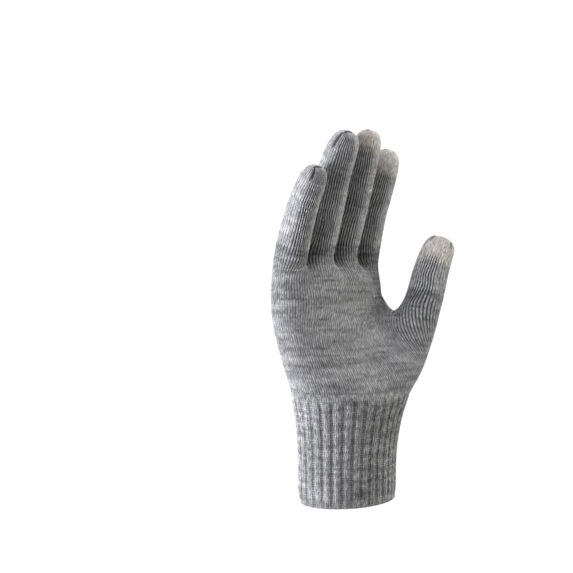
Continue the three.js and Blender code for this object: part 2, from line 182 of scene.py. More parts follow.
@dataclass(frozen=True)
class ShadePatch:
    """A patch of painted shade at a tip: the degrees between which it lies, and its courses."""

    start: float = 0.0
    end: float = 0.0
    down: float = 0.0


@dataclass(frozen=True)
class StallSizes:
    """A finger or the thumb: its points are the middle of the root, of two sections, and the tip."""

    name: str
    rows: int  # rings of the cage above the root
    points: tuple[Oval, Oval, Oval, Oval]
    pale_tip: float = 0.0  # how far down from the tip the pale yarn reaches
    root_row: float | None = None  # distance of the first ring from the root, where it isn't even
    front: float = 34.0  # middle of its deeply grooved face, in degrees from the little finger's side
    spread: float = 54.0  # how far that face reaches to each side
    creases: tuple[Crease, ...] = ()
    patch: ShadePatch = ShadePatch()


@dataclass(frozen=True)
class Stitch:
    """One stitch of the fabric. Lengths are millimetres; lean is in courses."""

    course: float = 1.5
    lean: float = 2.5  # twice how far a leg climbs from the middle of a wale to its edge
    rows: int = 3  # rows of points to a course on the outer face
    lining_courses: int = 5  # courses from one row of points to the next on the lining


def running_lengths(line: np.ndarray) -> np.ndarray:
    """Running length along a line of points, from 0."""
    return np.concatenate([[0.0], np.cumsum(np.linalg.norm(np.diff(line, axis=0), axis=1))])


def smooth(share: np.ndarray) -> np.ndarray:
    """Eases from 0 to 1 as the share goes from 0 to 1."""
    share = np.clip(share, 0, 1)
    return share * share * (3 - 2 * share)


def unit(vector: np.ndarray) -> np.ndarray:
    """The vector, or each of several, at length 1."""
    return vector / np.maximum(np.linalg.norm(vector, axis=-1, keepdims=True), 1e-9)


def square_to(outward: np.ndarray, along: np.ndarray) -> np.ndarray:
    """A direction turned square to another one, at length 1."""
    return unit(outward - (outward @ along) * along)


class StallLine:
    """The middle line of a stall as a smooth curve, with its widths at the same share of its length."""

    TIP_LENGTH = 13.0
    TIP_RINGS = ((0.0, 1.0, 1.0), (0.45, 0.95, 0.9), (0.82, 0.72, 0.6))  # shares of length, width and depth
    SEAM_WIDTH = 0.42  # share of the stall's width
    SEAM_DROPS = (3.2, 1.0, 0.0, 1.0, 3.2)

    def __init__(self, sizes: StallSizes, outward: np.ndarray) -> None:
        """Samples the curve of a stall whose outer side faces outward.

        Args:
            sizes: the stall's sections.
            outward: the direction of its outer side, (3,).
        """
        self.sizes = sizes
        self.outward = outward
        knots = np.array([oval.centre() for oval in sizes.points])
        self.line, self.tangents = self.curve(knots)
        self.lengths = running_lengths(self.line)
        self.length = float(self.lengths[-1])
        self.shares = running_lengths(knots) / running_lengths(knots)[-1]

    @staticmethod
    def curve(knots: np.ndarray) -> tuple[np.ndarray, np.ndarray]:
        """A centripetal Catmull-Rom curve through the knots.

        Args:
            knots: the points that it passes, (n, 3).

        Returns:
            Points along the curve, and the unit tangent at each.
        """
        padded = np.vstack([2 * knots[0] - knots[1], knots, 2 * knots[-1] - knots[-2]])
        points, tangents = [], []
        for i in range(len(knots) - 1):
            p0, p1, p2, p3 = padded[i : i + 4]
            d0, d1, d2 = (math.sqrt(np.linalg.norm(b - a)) for a, b in ((p0, p1), (p1, p2), (p2, p3)))
            start = ((p1 - p0) / d0 - (p2 - p0) / (d0 + d1) + (p2 - p1) / d1) * d1
            end = ((p2 - p1) / d1 - (p3 - p1) / (d1 + d2) + (p3 - p2) / d2) * d1
            t = np.linspace(0, 1, CURVE_STEPS + 1)[0 if i == 0 else 1 :, None]
            c2 = -3 * p1 + 3 * p2 - 2 * start - end
            c3 = 2 * p1 - 2 * p2 + start + end
            points.append(p1 + start * t + c2 * t**2 + c3 * t**3)
            tangents.append(start + 2 * c2 * t + 3 * c3 * t**2)
        return np.vstack(points), unit(np.vstack(tangents))

    def ring(self, distance: float, wide: float = 1.0, deep: float = 1.0) -> np.ndarray:
        """Eight cage points round the stall, from the little-finger side through the palm side.

        Args:
            distance: how far up the stall, in millimetres.
            wide: share of the half width.
            deep: share of the half depth.

        Returns:
            The points, (8, 3).
        """
        share = min(distance / self.length, 1.0)
        at = share * self.length
        centre = np.array([np.interp(at, self.lengths, self.line[:, k]) for k in range(3)])
        along = unit(np.array([np.interp(at, self.lengths, self.tangents[:, k]) for k in range(3)]))
        across = square_to(self.outward, along)
        back = np.cross(along, across)
        half_width = np.interp(share, self.shares, [p.half_width for p in self.sizes.points])
        half_depth = np.interp(share, self.shares, [p.half_depth for p in self.sizes.points])
        angle = (np.pi * np.arange(2 * HALF_STALL) / HALF_STALL)[:, None]
        return (
            centre
            - across * half_width * wide * OCTAGON_SWELL * np.cos(angle)
            - back * half_depth * deep * OCTAGON_SWELL * np.sin(angle)
        )

    def rings(self) -> list[np.ndarray]:
        """Every ring above the root, up to the last one below the closing seam.

        Returns:
            The rings, (8, 3) each.
        """
        straight = self.length - self.TIP_LENGTH
        full = self.sizes.rows - len(self.TIP_RINGS)
        first = self.sizes.root_row if self.sizes.root_row is not None else straight / (full + 1)
        rings = [self.ring(first + (straight - first) * i / full) for i in range(full)]
        for reach, wide, deep in self.TIP_RINGS:
            rings.append(self.ring(straight + self.TIP_LENGTH * reach, wide, deep))
        return rings

    def seam(self) -> np.ndarray:
        """Five cage points of the seam that closes the tip from side to side."""
        points = self.ring(self.length, self.SEAM_WIDTH, 0.0)[: HALF_STALL + 1]
        return points - np.outer(self.SEAM_DROPS, self.tangents[-1])


class Cage:
    """The coarse mesh of the whole glove: shared points, and panels of whole rings of them."""

    def __init__(self) -> None:
        """Starts empty."""
        self.points: list[np.ndarray] = []
        self.panels: dict[str, np.ndarray] = {}

    def add(self, ring: np.ndarray) -> np.ndarray:
        """Adds the points of a ring and gives their numbers.

        Args:
            ring: the points, (n, 3).

        Returns:
            The numbers, (n,).
        """
        first = len(self.points)
        self.points.extend(ring)
        return np.arange(first, first + len(ring))

    def panel(self, name: str, rings: list[np.ndarray]) -> None:
        """Joins numbered rings, one above the other, into a panel."""
        self.panels[name] = np.array(rings)

    def quads(self) -> np.ndarray:
        """Every face of the cage, panel after panel.

        Returns:
            The numbers of the corners, (face, 1, 1, corner).
        """
        faces = []
        for rings in self.panels.values():
            right = np.roll(rings, -1, axis=1)
            cells = np.stack([rings[:-1], right[:-1], right[1:], rings[1:]], axis=-1)
            faces.append(cells.reshape(-1, 1, 1, 4))
        return np.vstack(faces)


@dataclass(frozen=True)
class HandForm:
    """The sections of the glove, in millimetres, and the cage that runs through them."""

    cuff: tuple[Oval, ...] = (
        Oval(0, 0, 0, 35.0, 26.2),
        Oval(0, 0, 11.3, 35.4, 26.5),
        Oval(0, 0, 22.7, 35.5, 26.6),
        Oval(0.1, -0.1, 34, 36.0, 27.0),
        Oval(0.6, -0.4, 45.3, 37.4, 28.1),
        Oval(1.3, -0.7, 56.7, 40.0, 29.4),
        Oval(2.2, -1.3, 68, 43.4, 32.4),
    )
    hand: tuple[HandSection, ...] = (
        HandSection(
            settle=0.1,
            lean=0,
            front=Fork(84, 95),
            back=Fork(12, 88),
            palm=Oval(-1.2, 2.6, 79.5, 43.5, 27.6),
            thumb=(25, -11.3, 79.5),
            thumb_radius=23.2,
        ),
        HandSection(
            settle=0.35,
            lean=0.1,
            front=Fork(75, 80),
            back=Fork(15, 66),
            palm=Oval(-3.6, 5.7, 91, 43.8, 24.7, 2.1),
            thumb=(33.3, -13.9, 91),
            thumb_radius=20.8,
        ),
        HandSection(
            settle=0.7,
            lean=0.3,
            front=Fork(58, 50),
            back=Fork(14, 46),
            palm=Oval(-5.5, 8.1, 102.5, 44.4, 22.2, 2.2),
            thumb=(39.4, -16, 101.5),
            thumb_radius=18.2,
        ),
        HandSection(
            settle=1,
            lean=0.7,
            front=Fork(34, 30),
            back=Fork(8, 30),
            palm=Oval(-6.8, 10.4, 114, 44.8, 20.2, 2.3),
            thumb=(45, -18.6, 112.5),
            thumb_radius=15.8,
        ),
        HandSection(
            settle=1,
            lean=1,
            front=Fork(0, 0),
            back=Fork(0, 0),
            palm=Oval(-6.2, 11.9, 125, 46, 18.7, 2.4),
            thumb=(49.8, -21, 124),
            thumb_radius=14,
        ),
    )
    palm: tuple[Oval, ...] = (
        Oval(-5.8, 12.3, 136, 46, 18.2, 2.4, 0),
        Oval(-6.6, 12.3, 146.5, 44.2, 17.3, 2.4, 2.5),
    )
    thumb_crotch: tuple[float, float, float] = (41.2, -4.6, 119)
    thumb_outward: tuple[float, float, float] = (0.54, -0.84, 0)
    crotch_drop: float = 3.5  # how far the webs between the fingers lie below the roots
    fingers: tuple[StallSizes, ...] = (
        StallSizes(
            "little_finger",
            5,
            (
                Oval(-38.1, 13.6, 153.5, 10.4, 12.2),
                Oval(-37.4, 6.6, 178, 9.8, 11.2),
                Oval(-36.5, -1.4, 196.5, 9.4, 9.9),
                Oval(-36.2, -12.4, 211.5, 8.8, 8.8),
            ),
            front=70,
            spread=40,
            creases=(Crease(28, 8),),
            patch=ShadePatch(28, 160, 8),
        ),
        StallSizes(
            "ring_finger",
            7,
            (
                Oval(-16.3, 12.6, 157.5, 10.1, 12.3),
                Oval(-15.6, 2, 187, 9.9, 11),
                Oval(-15.6, -3.8, 211.5, 9.8, 12.8),
                Oval(-15, -17.8, 234.8, 9, 9.6),
            ),
            front=54,
            spread=42,
            creases=(Crease(-8, 12),),
        ),
        StallSizes(
            "middle_finger",
            7,
            (
                Oval(4.5, 12.2, 158.5, 10.1, 12.3),
                Oval(5.2, -0.4, 192.5, 9.9, 11),
                Oval(5.6, -7.3, 215, 9.6, 10.2),
                Oval(6, -15.3, 238.6, 9, 9.2),
            ),
            pale_tip=16,
        ),
        StallSizes(
            "index_finger",
            6,
            (
                Oval(25.4, 11.6, 156, 10.3, 12.2),
                Oval(25.6, 3.6, 187, 10, 11),
                Oval(27.6, -4, 207.5, 9.7, 10.2),
                Oval(28.6, -10.1, 228.9, 9, 9.2),
            ),
            pale_tip=20,
        ),
    )
    thumb: StallSizes = StallSizes(
        "thumb",
        6,
        (
            Oval(49.8, -21, 124, 12.6, 12.6),
            Oval(53.9, -22.3, 141, 12.4, 12),
            Oval(58.2, -23.8, 155, 11.6, 11),
            Oval(64.4, -27.6, 171.2, 10.8, 10),
        ),
        pale_tip=21.5,
        root_row=5.5,
        front=83,
        spread=44,
        creases=(Crease(38, 8), Crease(158, 8)),
    )

    def thumb_points(self, section: HandSection, degrees: np.ndarray) -> np.ndarray:
        """Points round the root of the thumb: an oval square to the thumb, or level, by its lean.

        Args:
            section: the section through the hand.
            degrees: angles from the thumb's inner side.

        Returns:
            The points, (n, 3).
        """
        low, high = (oval.centre() for oval in self.thumb.points[:2])
        up = unit((1 - section.lean) * np.array([0.0, 0, 1]) + section.lean * unit(high - low))
        outward = square_to(unit(np.array(self.thumb_outward)), up)
        back = np.cross(up, outward)
        angle = np.radians(degrees)[:, None]
        radius = section.thumb_radius
        return np.array(section.thumb) - outward * radius * np.cos(angle) - back * radius * np.sin(angle)

    def outline_half(self, section: HandSection, side: int) -> tuple[np.ndarray, float, float]:
        """One half of the outline through the palm and the thumb's root.

        Args:
            section: the section through the hand.
            side: 1 for the palm side, -1 for the back.

        Returns:
            The line, the length at which its columns part, and its whole length.
        """
        fork = section.front if side > 0 else section.back
        palm = section.palm.points(side * np.linspace(0, 180 - fork.palm_end, OUTLINE_STEPS + 1))
        thumb = self.thumb_points(section, side * np.linspace(fork.thumb_start, 180, OUTLINE_STEPS + 1))
        line = np.vstack([palm, thumb])
        lengths = running_lengths(line)
        return line, float(lengths[OUTLINE_STEPS : OUTLINE_STEPS + 2].mean()), float(lengths[-1])

    def hand_ring(self, section: HandSection) -> np.ndarray:
        """A ring of the cage: palm side outwards, then the back of the hand home again.

        Args:
            section: the section through the hand.

        Returns:
            The points, (2 * HAND_HALF, 3).
        """
        front, front_fork, front_whole = self.outline_half(section, 1)
        back, back_fork, _ = self.outline_half(section, -1)
        line = np.vstack([front, back[::-1][1:]])
        lengths = running_lengths(line)
        whole = lengths[-1]
        columns = np.arange(2 * HAND_HALF)
        anchors = [0, PALM_HALF, HAND_HALF, 2 * HAND_HALF - PALM_HALF, 2 * HAND_HALF]
        forked = np.interp(columns, anchors, [0, front_fork, front_whole, whole - back_fork, whole])
        wanted = (1 - section.settle) * whole * columns / (2 * HAND_HALF) + section.settle * forked
        return np.stack([np.interp(wanted, lengths, line[:, k]) for k in range(3)], axis=1)

    def stall(self, cage: Cage, line: StallLine, root: np.ndarray) -> None:
        """Adds the panel of a stall, from its root ring up to the seam over its tip.

        Args:
            cage: the cage to add it to.
            line: the stall's middle line.
            root: numbers of the root's points, which are there already.
        """
        rings = [root, *(cage.add(ring) for ring in line.rings())]
        seam = cage.add(line.seam())
        rings.append(seam[[0, 1, 2, 3, 4, 3, 2, 1]])
        cage.panel(line.sizes.name, rings)

    def cage(self) -> Cage:
        """The whole cage: the cuff and hand, the palm above the thumb, and five stalls.

        Returns:
            The cage.
        """
        cage = Cage()
        hand = [cage.add(oval.ring(2 * HAND_HALF)) for oval in self.cuff]
        hand += [cage.add(self.hand_ring(section)) for section in self.hand]
        home = 2 * HAND_HALF - PALM_HALF
        top = hand[-1]
        cage.points[top[PALM_HALF]] = np.array(self.thumb_crotch, float)
        top[home] = top[PALM_HALF]
        cage.panel("hand", hand)
        outward = unit(np.array(self.thumb_outward))
        self.stall(cage, StallLine(self.thumb, outward), top[PALM_HALF:home])

        palm = [np.concatenate([top[: PALM_HALF + 1], top[home + 1 :]])]
        palm += [cage.add(oval.ring(2 * PALM_HALF)) for oval in self.palm]
        lines = [StallLine(sizes, np.array([1.0, 0, 0])) for sizes in self.fingers]
        roots = [cage.add(line.ring(0)) for line in lines]
        for inner, outer in zip(roots, roots[1:]):
            crotch = (cage.points[outer[0]] + cage.points[inner[HALF_STALL]]) / 2
            cage.points[outer[0]] = crotch - np.array([0, 0, self.crotch_drop])
            inner[HALF_STALL] = outer[0]
        front = [*(root[:HALF_STALL] for root in roots[:-1]), roots[-1][: HALF_STALL + 1]]
        rear = [roots[-1][HALF_STALL + 1 :], *(root[HALF_STALL:] for root in reversed(roots[:-1]))]
        palm.append(np.concatenate([*front, *rear]))
        cage.panel("palm", palm)
        for line, root in zip(lines, roots):
            self.stall(cage, line, root)
        return cage


def sides_of(flat: np.ndarray) -> np.ndarray:
    """The two ends of every side of every quad, the lower number first."""
    return np.sort(np.stack([flat, np.roll(flat, -1, axis=1)], axis=2), axis=2).reshape(-1, 2)


def gather(count: int, where: np.ndarray, values: np.ndarray) -> np.ndarray:
    """Adds up the values that belong to each of a count of points.

    Args:
        count: how many points there are.
        where: the point that each value belongs to, of any shape.
        values: as many vectors of three, of any shape.

    Returns:
        The sums, (count, 3).
    """
    total = np.zeros((count, 3))
    np.add.at(total, where.ravel(), values.reshape(-1, 3))
    return total


def subdivide(points: np.ndarray, quads: np.ndarray) -> tuple[np.ndarray, np.ndarray]:
    """One step of Catmull-Clark subdivision.

    Args:
        points: (n, 3).
        quads: (face, row, column, corner), corners lower left, lower right, upper right, upper left.

    Returns:
        The new points, and the quads with twice the rows and columns.
    """
    flat = quads.reshape(-1, 4)
    count = len(points)
    centres = points[flat].mean(axis=1)
    centre_of_corner = np.repeat(centres, 4, axis=0)
    edges, edge_of, uses = np.unique(sides_of(flat), axis=0, return_inverse=True, return_counts=True)
    edge_of = edge_of.reshape(-1)
    middles = points[edges].mean(axis=1)
    beside = gather(len(edges), edge_of, centre_of_corner)
    inner = (uses == 2)[:, None]
    edge_points = np.where(inner, (2 * middles + beside) / 4, middles)

    valence = np.bincount(flat.ravel(), minlength=count)[:, None]
    face_sum = gather(count, flat, centre_of_corner)
    edge_sum = gather(count, edges, np.repeat(middles, 2, axis=0))
    edge_count = np.bincount(edges.ravel(), minlength=count)[:, None]
    moved = (face_sum / valence + 2 * edge_sum / edge_count + (valence - 3) * points) / valence
    rim = edges[uses == 1]
    rim_sum = gather(count, rim, points[rim[:, ::-1]])
    rim_count = np.bincount(rim.ravel(), minlength=count)[:, None]
    on_rim = rim_count > 0
    moved = np.where(on_rim, 0.75 * points + 0.25 * rim_sum / np.maximum(rim_count, 1), moved)

    a, b, c, d = (flat[:, k] for k in range(4))
    ab, bc, cd, da = (edge_of.reshape(-1, 4)[:, k] + count for k in range(4))
    m = np.arange(len(flat)) + count + len(edges)
    cells = np.array([[[a, ab, m, da], [ab, b, bc, m]], [[da, m, cd, d], [m, bc, c, cd]]])
    faces, size = quads.shape[0], quads.shape[1]
    cells = cells.transpose(3, 0, 1, 2).reshape(faces, size, size, 2, 2, 4)
    finer = cells.transpose(0, 1, 3, 2, 4, 5).reshape(faces, 2 * size, 2 * size, 4)
    return np.vstack([moved, edge_points, centres]), finer


def to_limit(points: np.ndarray, quads: np.ndarray) -> tuple[np.ndarray, np.ndarray]:
    """Moves the points to where endless subdivision would take them, and finds their normals.

    Args:
        points: (n, 3).
        quads: the fine quads, as subdivide gives them.

    Returns:
        The points on the limit surface, and the unit normals.
    """
    flat = quads.reshape(-1, 4)
    count = len(points)
    edges, uses = np.unique(sides_of(flat), axis=0, return_counts=True)
    edge_sum = gather(count, edges, points[edges[:, ::-1]])
    far_sum = gather(count, flat, points[np.roll(flat, -2, axis=1)])
    n = np.bincount(flat.ravel(), minlength=count)[:, None]
    limit = (n * n * points + 4 * edge_sum + far_sum) / (n * (n + 5))
    rim = edges[uses == 1].ravel()
    limit[rim] = points[rim]
    corners = limit[flat]
    face_normals = np.cross(corners[:, 2] - corners[:, 0], corners[:, 3] - corners[:, 1])
    return limit, unit(gather(count, flat, np.repeat(face_normals, 4, axis=0)))


class Panel:
    """A closed tube of fabric on the smooth surface, read by its course and its column."""

    STEPS_PER_COURSE = 8  # steps by which a course is found on the grid
    WANDER_COURSES = 5  # the lines of stitches wander over about this many courses
    WANDER_WALES = 4  # and this many wales
    WANDER_ACROSS = 0.14  # sideways by up to this share of a wale
    WANDER_STALL = 0.3  # or by this share on a stall
    WANDER_UP = 0.35  # and up or down by up to this share of a course
    STEADY_COURSES = 4  # courses over which the wander fades towards the panel's ends
    CROWDING = 0.2  # how much closer together the wales lie in the middle of a stall's grooved face
    CROWDING_COURSES = 9  # courses over which they draw together above the root

    def __init__(
        self, name: str, points: np.ndarray, normals: np.ndarray, stitch: Stitch, stall: StallSizes | None
    ) -> None:
        """Keeps the grids, (row, column, 3), and divides the tube into whole courses.

        Args:
            name: the panel's name.
            points: the surface's points.
            normals: the surface's unit normals.
            stitch: the stitch that the fabric is made of.
            stall: the sizes of the stall that the panel is, if it is one.
        """
        self.name = name
        self.stall = stall
        self.course = stitch.course
        self.points = points
        self.normals = normals
        steps = np.linalg.norm(np.diff(points, axis=0), axis=2).mean(axis=1)
        lengths = np.concatenate([[0.0], np.cumsum(steps)])
        self.courses = max(1, round(lengths[-1] / stitch.course))
        even = np.linspace(0, lengths[-1], self.courses * self.STEPS_PER_COURSE + 1)
        self.row_at = np.interp(even, lengths, np.arange(len(lengths)))
        self.wales = points.shape[1] // FINE * WALES_PER_COLUMN
        dice = np.random.default_rng([ord(letter) for letter in name])
        places = (self.courses // self.WANDER_COURSES + 3, self.wales // self.WANDER_WALES)
        self.drift = dice.uniform(-1, 1, (2, *places))
        self.luck = dice.uniform(0, 1, (self.courses + 4, 2 * self.wales))

    def degrees_from(self, wales: np.ndarray, degrees: float) -> np.ndarray:
        """How many degrees round the tube each wale lies from a direction."""
        return np.abs((wales / self.wales * 360 - degrees + 180) % 360 - 180)

    def rows(self, courses: np.ndarray) -> np.ndarray:
        """Rows of the grid at these courses."""
        return np.interp(courses * self.STEPS_PER_COURSE, np.arange(len(self.row_at)), self.row_at)

    def ring_rows(self) -> np.ndarray:
        """The row of the grid that lies nearest to each whole course."""
        return np.round(self.rows(np.arange(self.courses + 1.0))).astype(int)

    def read(self, grid: np.ndarray, courses: np.ndarray, columns: np.ndarray) -> np.ndarray:
        """Reads the points or normals between the grid's own.

        Args:
            grid: self.points or self.normals.
            courses: (n, m) courses from the start of the panel.
            columns: (n, m) columns of the grid.

        Returns:
            The values, (n, m, 3).
        """
        rows = self.rows(courses)
        low = np.clip(np.floor(rows).astype(int), 0, len(grid) - 2)
        up = (rows - low)[..., None]
        left = np.floor(columns).astype(int)
        across = (columns - left)[..., None]
        left, right = left % grid.shape[1], (left + 1) % grid.shape[1]
        lower = (1 - across) * grid[low, left] + across * grid[low, right]
        upper = (1 - across) * grid[low + 1, left] + across * grid[low + 1, right]
        return (1 - up) * lower + up * upper

    def wander(self, height: np.ndarray, wales: np.ndarray) -> tuple[np.ndarray, np.ndarray]:
        """How far stitches lie off their even places, which is nothing at the panel's ends.

        Args:
            height: (row, column) heights in courses.
            wales: (column,) wales.

        Returns:
            Shifts in wales and in courses, (row, column) each.
        """
        rows = height / self.WANDER_COURSES
        low = np.clip(np.floor(rows).astype(int), 0, self.drift.shape[1] - 2)
        up = rows - low
        places = wales / self.WANDER_WALES
        left = np.floor(places).astype(int)
        right = (left + 1) % self.drift.shape[2]
        side = places - left
        up, side = smooth(up), smooth(side)
        across, along = (
            (1 - up) * ((1 - side) * grid[low, left] + side * grid[low, right])
            + up * ((1 - side) * grid[low + 1, left] + side * grid[low + 1, right])
            for grid in self.drift
        )
        steady = np.clip(np.minimum(height, self.courses - height) / self.STEADY_COURSES, 0, 1)
        across = across * (self.WANDER_STALL if self.stall else self.WANDER_ACROSS)
        if self.stall:
            angle = 2 * np.pi * (wales / self.wales - self.stall.front / 360)
            crowding = self.CROWDING * smooth(height / self.CROWDING_COURSES)
            across = across - crowding * self.wales / (2 * np.pi) * np.sin(angle)
        return across * steady, along * self.WANDER_UP * steady

    def chance(self, course: np.ndarray, wales: np.ndarray) -> np.ndarray:
        """A seeded number from 0 to 1 for the leg of each stitch, and a half at the panel's ends.

        Args:
            course: (row, column) courses of the stitches themselves.
            wales: (column,) wales.

        Returns:
            The numbers, (row, column).
        """
        legs = np.floor(wales * 2).astype(int) % self.luck.shape[1]
        rows = np.floor(course).astype(int)
        inside = (rows >= 0) & (rows < self.courses - 1)
        return np.where(inside, self.luck[np.clip(rows, 0, self.courses), legs], 0.5)

    def course_at_height(self, z: float) -> int:
        """The whole course whose ring lies nearest to a height."""
        heights = self.points[self.ring_rows(), :, 2].mean(axis=1)
        return int(np.argmin(np.abs(heights - z)))

    def course_where(self, wanted: float, centre: np.ndarray) -> int:
        """The whole course whose middle is nearest to a given distance, in millimetres, from a point."""
        middles = self.points[self.ring_rows()].mean(axis=1)
        return int(np.argmin(np.abs(np.linalg.norm(middles - centre, axis=1) - wanted)))


class FabricSurface:
    """The smooth surface of the whole glove, as named panels."""

    def __init__(self, form: HandForm, stitch: Stitch) -> None:
        """Subdivides the form's cage and cuts it into panels.

        Args:
            form: the sections of the glove.
            stitch: the stitch that the fabric is made of.
        """
        cage = form.cage()
        points, quads = np.array(cage.points, float), cage.quads()
        for _ in range(LEVELS):
            points, quads = subdivide(points, quads)
        points, normals = to_limit(points, quads)
        stalls = {sizes.name: sizes for sizes in (*form.fingers, form.thumb)}
        self.panels: dict[str, Panel] = {}
        first = 0
        for name, rings in cage.panels.items():
            bands, columns = len(rings) - 1, rings.shape[1]
            own = quads[first : first + bands * columns].reshape(bands, columns, FINE, FINE, 4)
            first += bands * columns
            grid = own[..., 0].transpose(0, 2, 1, 3).reshape(bands * FINE, columns * FINE)
            grid = np.vstack([grid, own[-1, :, FINE - 1, :, 3].reshape(1, -1)])
            self.panels[name] = Panel(name, points[grid], normals[grid], stitch, stalls.get(name))


@dataclass(frozen=True)
class Relief:
    """How deep plain stitches are, and how much painted shade darkens their grooves. A pair holds the value
    on the palm and then the one on a stall.
    """

    groove: tuple[float, float] = (0.45, 1.4)  # depth in millimetres
    beads: tuple[float, float] = (0.55, 0.3)  # how strongly a wale is broken into single stitches
    legs: float = 0.85  # how high the two legs of a plain stitch stand on the palm
    middle: float = 0.6  # how full the middle of a wale is between them
    uneven: tuple[float, float] = (0.45, 0.3)  # how much stitches differ from each other
    shadow: tuple[float, float] = (1.0, 1.05)  # painted shade: how steeply the yarn's colour darkens towards a groove
    contrast: tuple[float, float] = (0.82, 0.94)  # painted shade: how much darker a groove is painted than a crest
    root_share: float = 0.5  # how far the stitches are those of a stall at a finger's root
    blend_courses: float = 9.0  # courses over which they change on each side of the root
    face_blend: float = 24.0  # degrees over which a stall's grooved face turns into plain fabric
    edge_wales: float = 17.0  # wales of the palm below the little finger, whose grooves run on down
    edge_blend: float = 6.0  # wales over which they end
    edge_strength: float = 0.8  # how strong they are, as a share of those at the fingers
    thumb_courses: float = 32.0  # how far below the thumb its grooves begin
    thumb_face: float = 2.1  # middle of the thumb's grooved face, in columns past the fork
    thumb_reach: float = 2.2  # how far that face reaches to each side, in columns
    thumb_blend: float = 1.4  # columns over which it turns into plain fabric
    thumb_strength: float = 0.75  # how far its stitches are those of a stall
    pale_blend: float = 3.0  # courses over which the pale yarn's flatter stitches begin
    pale_flatness: float = 0.75  # how much shallower the grooves are in the pale tips
    pale_speckle: float = 0.6  # how far the wales of the pale tips look like rows of dots
    dots: tuple[float, float] = (0.25, 0.5)  # such rows: their lowest point, and how much dots differ
    purl: tuple[float, float, float] = (0.22, 0.45, 0.7)  # purl bars: lowest point, height, difference
    seam_width: float = 0.5  # the closing seam, in courses
    fold_width: float = 9.0  # a crease at a tip, in degrees
    fold_blend: float = 3.0  # courses over which it ends
    fold_shade: float = 0.8  # painted shade: how dark the yarn is painted in a seam or crease
    patch_shade: float = 0.2  # painted shade: how dark the yarn is painted in a tip's shade patch
    sink: float = 0.5  # depth of seam and crease in millimetres

    def stall_share(self, panel: Panel, height: np.ndarray, wales: np.ndarray) -> np.ndarray:
        """How far the stitches are those of a stall: 0 on the palm, a half at a root and 1 higher up.

        Args:
            panel: the panel.
            height: (row, column) heights in courses.
            wales: (column,) wales.

        Returns:
            The shares, (row, column).
        """
        below = panel.courses - height
        if panel.name == "palm":
            edge = smooth((self.edge_wales - wales) / self.edge_blend) * smooth(1 - below / panel.courses)
            fingers = smooth(1 - below / self.blend_courses)
            return self.root_share * np.maximum(fingers, self.edge_strength * edge)
        if panel.name == "hand":
            face = self.thumb_root(wales / WALES_PER_COLUMN - PALM_HALF)
            return face * smooth(1 - below / self.thumb_courses)
        away = panel.degrees_from(wales, panel.stall.front)
        face = smooth((panel.stall.spread - away) / self.face_blend + 0.5)
        face = face * (1 - self.pale_flatness * self.pale(panel, below))
        face = face * (1 - self.patch(panel, below, wales))
        share = smooth(height / self.blend_courses)
        is_thumb = panel.stall.root_row is not None
        root = self.thumb_root(wales / WALES_PER_COLUMN) if is_thumb else self.root_share
        return root * (1 - share) + share * face

    def thumb_root(self, columns: np.ndarray) -> np.ndarray:
        """How far the thumb's grooves show at its root, by columns past the fork."""
        inside = self.thumb_reach - np.abs(columns - self.thumb_face)
        return self.thumb_strength * smooth(inside / self.thumb_blend)

    def pale(self, panel: Panel, below: np.ndarray) -> np.ndarray:
        """How far each point lies in the pale tip, 0 to 1."""
        return smooth((panel.stall.pale_tip / panel.course - below) / self.pale_blend)

    @staticmethod
    def patch(panel: Panel, below: np.ndarray, wales: np.ndarray) -> np.ndarray:
        """Whether each point lies in a stall's patch of painted shade, as 0 or 1.

        Args:
            panel: the stall's panel.
            below: (row, column) courses below the closed end.
            wales: (column,) wales.

        Returns:
            The zeros and ones, (row, column).
        """
        patch = panel.stall.patch
        from_middle = panel.degrees_from(wales, (patch.start + patch.end) / 2)
        return ((from_middle < (patch.end - patch.start) / 2) & (below < patch.down)).astype(float)

    def closure(self, panel: Panel, height: np.ndarray, wales: np.ndarray) -> tuple[np.ndarray, np.ndarray]:
        """The seam, fold and patch of painted shade at the closed end of a stall.

        Args:
            panel: the stall's panel.
            height: (row, column) heights in courses.
            wales: (column,) wales.

        Returns:
            How far the seam and the fold sink in, 0 to 1, and how dark the yarn is painted there as shade, 0
            to 1.
        """
        below = panel.courses - height
        sunk = np.exp(-((below / self.seam_width) ** 2))
        for crease in panel.stall.creases:
            near = np.exp(-((panel.degrees_from(wales, crease.degrees) / self.fold_width) ** 2))
            sunk = np.maximum(sunk, near * smooth((crease.down - below) / self.fold_blend))
        return sunk, np.maximum(self.fold_shade * sunk, self.patch_shade * self.patch(panel, below, wales))


@dataclass(frozen=True)
class Stretch:
    """Part of a panel that one piece covers, from one course to another; None is the panel's own end."""

    panel: str
    start: int | None = None
    stop: int | None = None
    rim_start: bool = True
    rim_stop: bool = True
    above_rib: bool = False  # whether it begins on the cuff, whose purl stitches end level


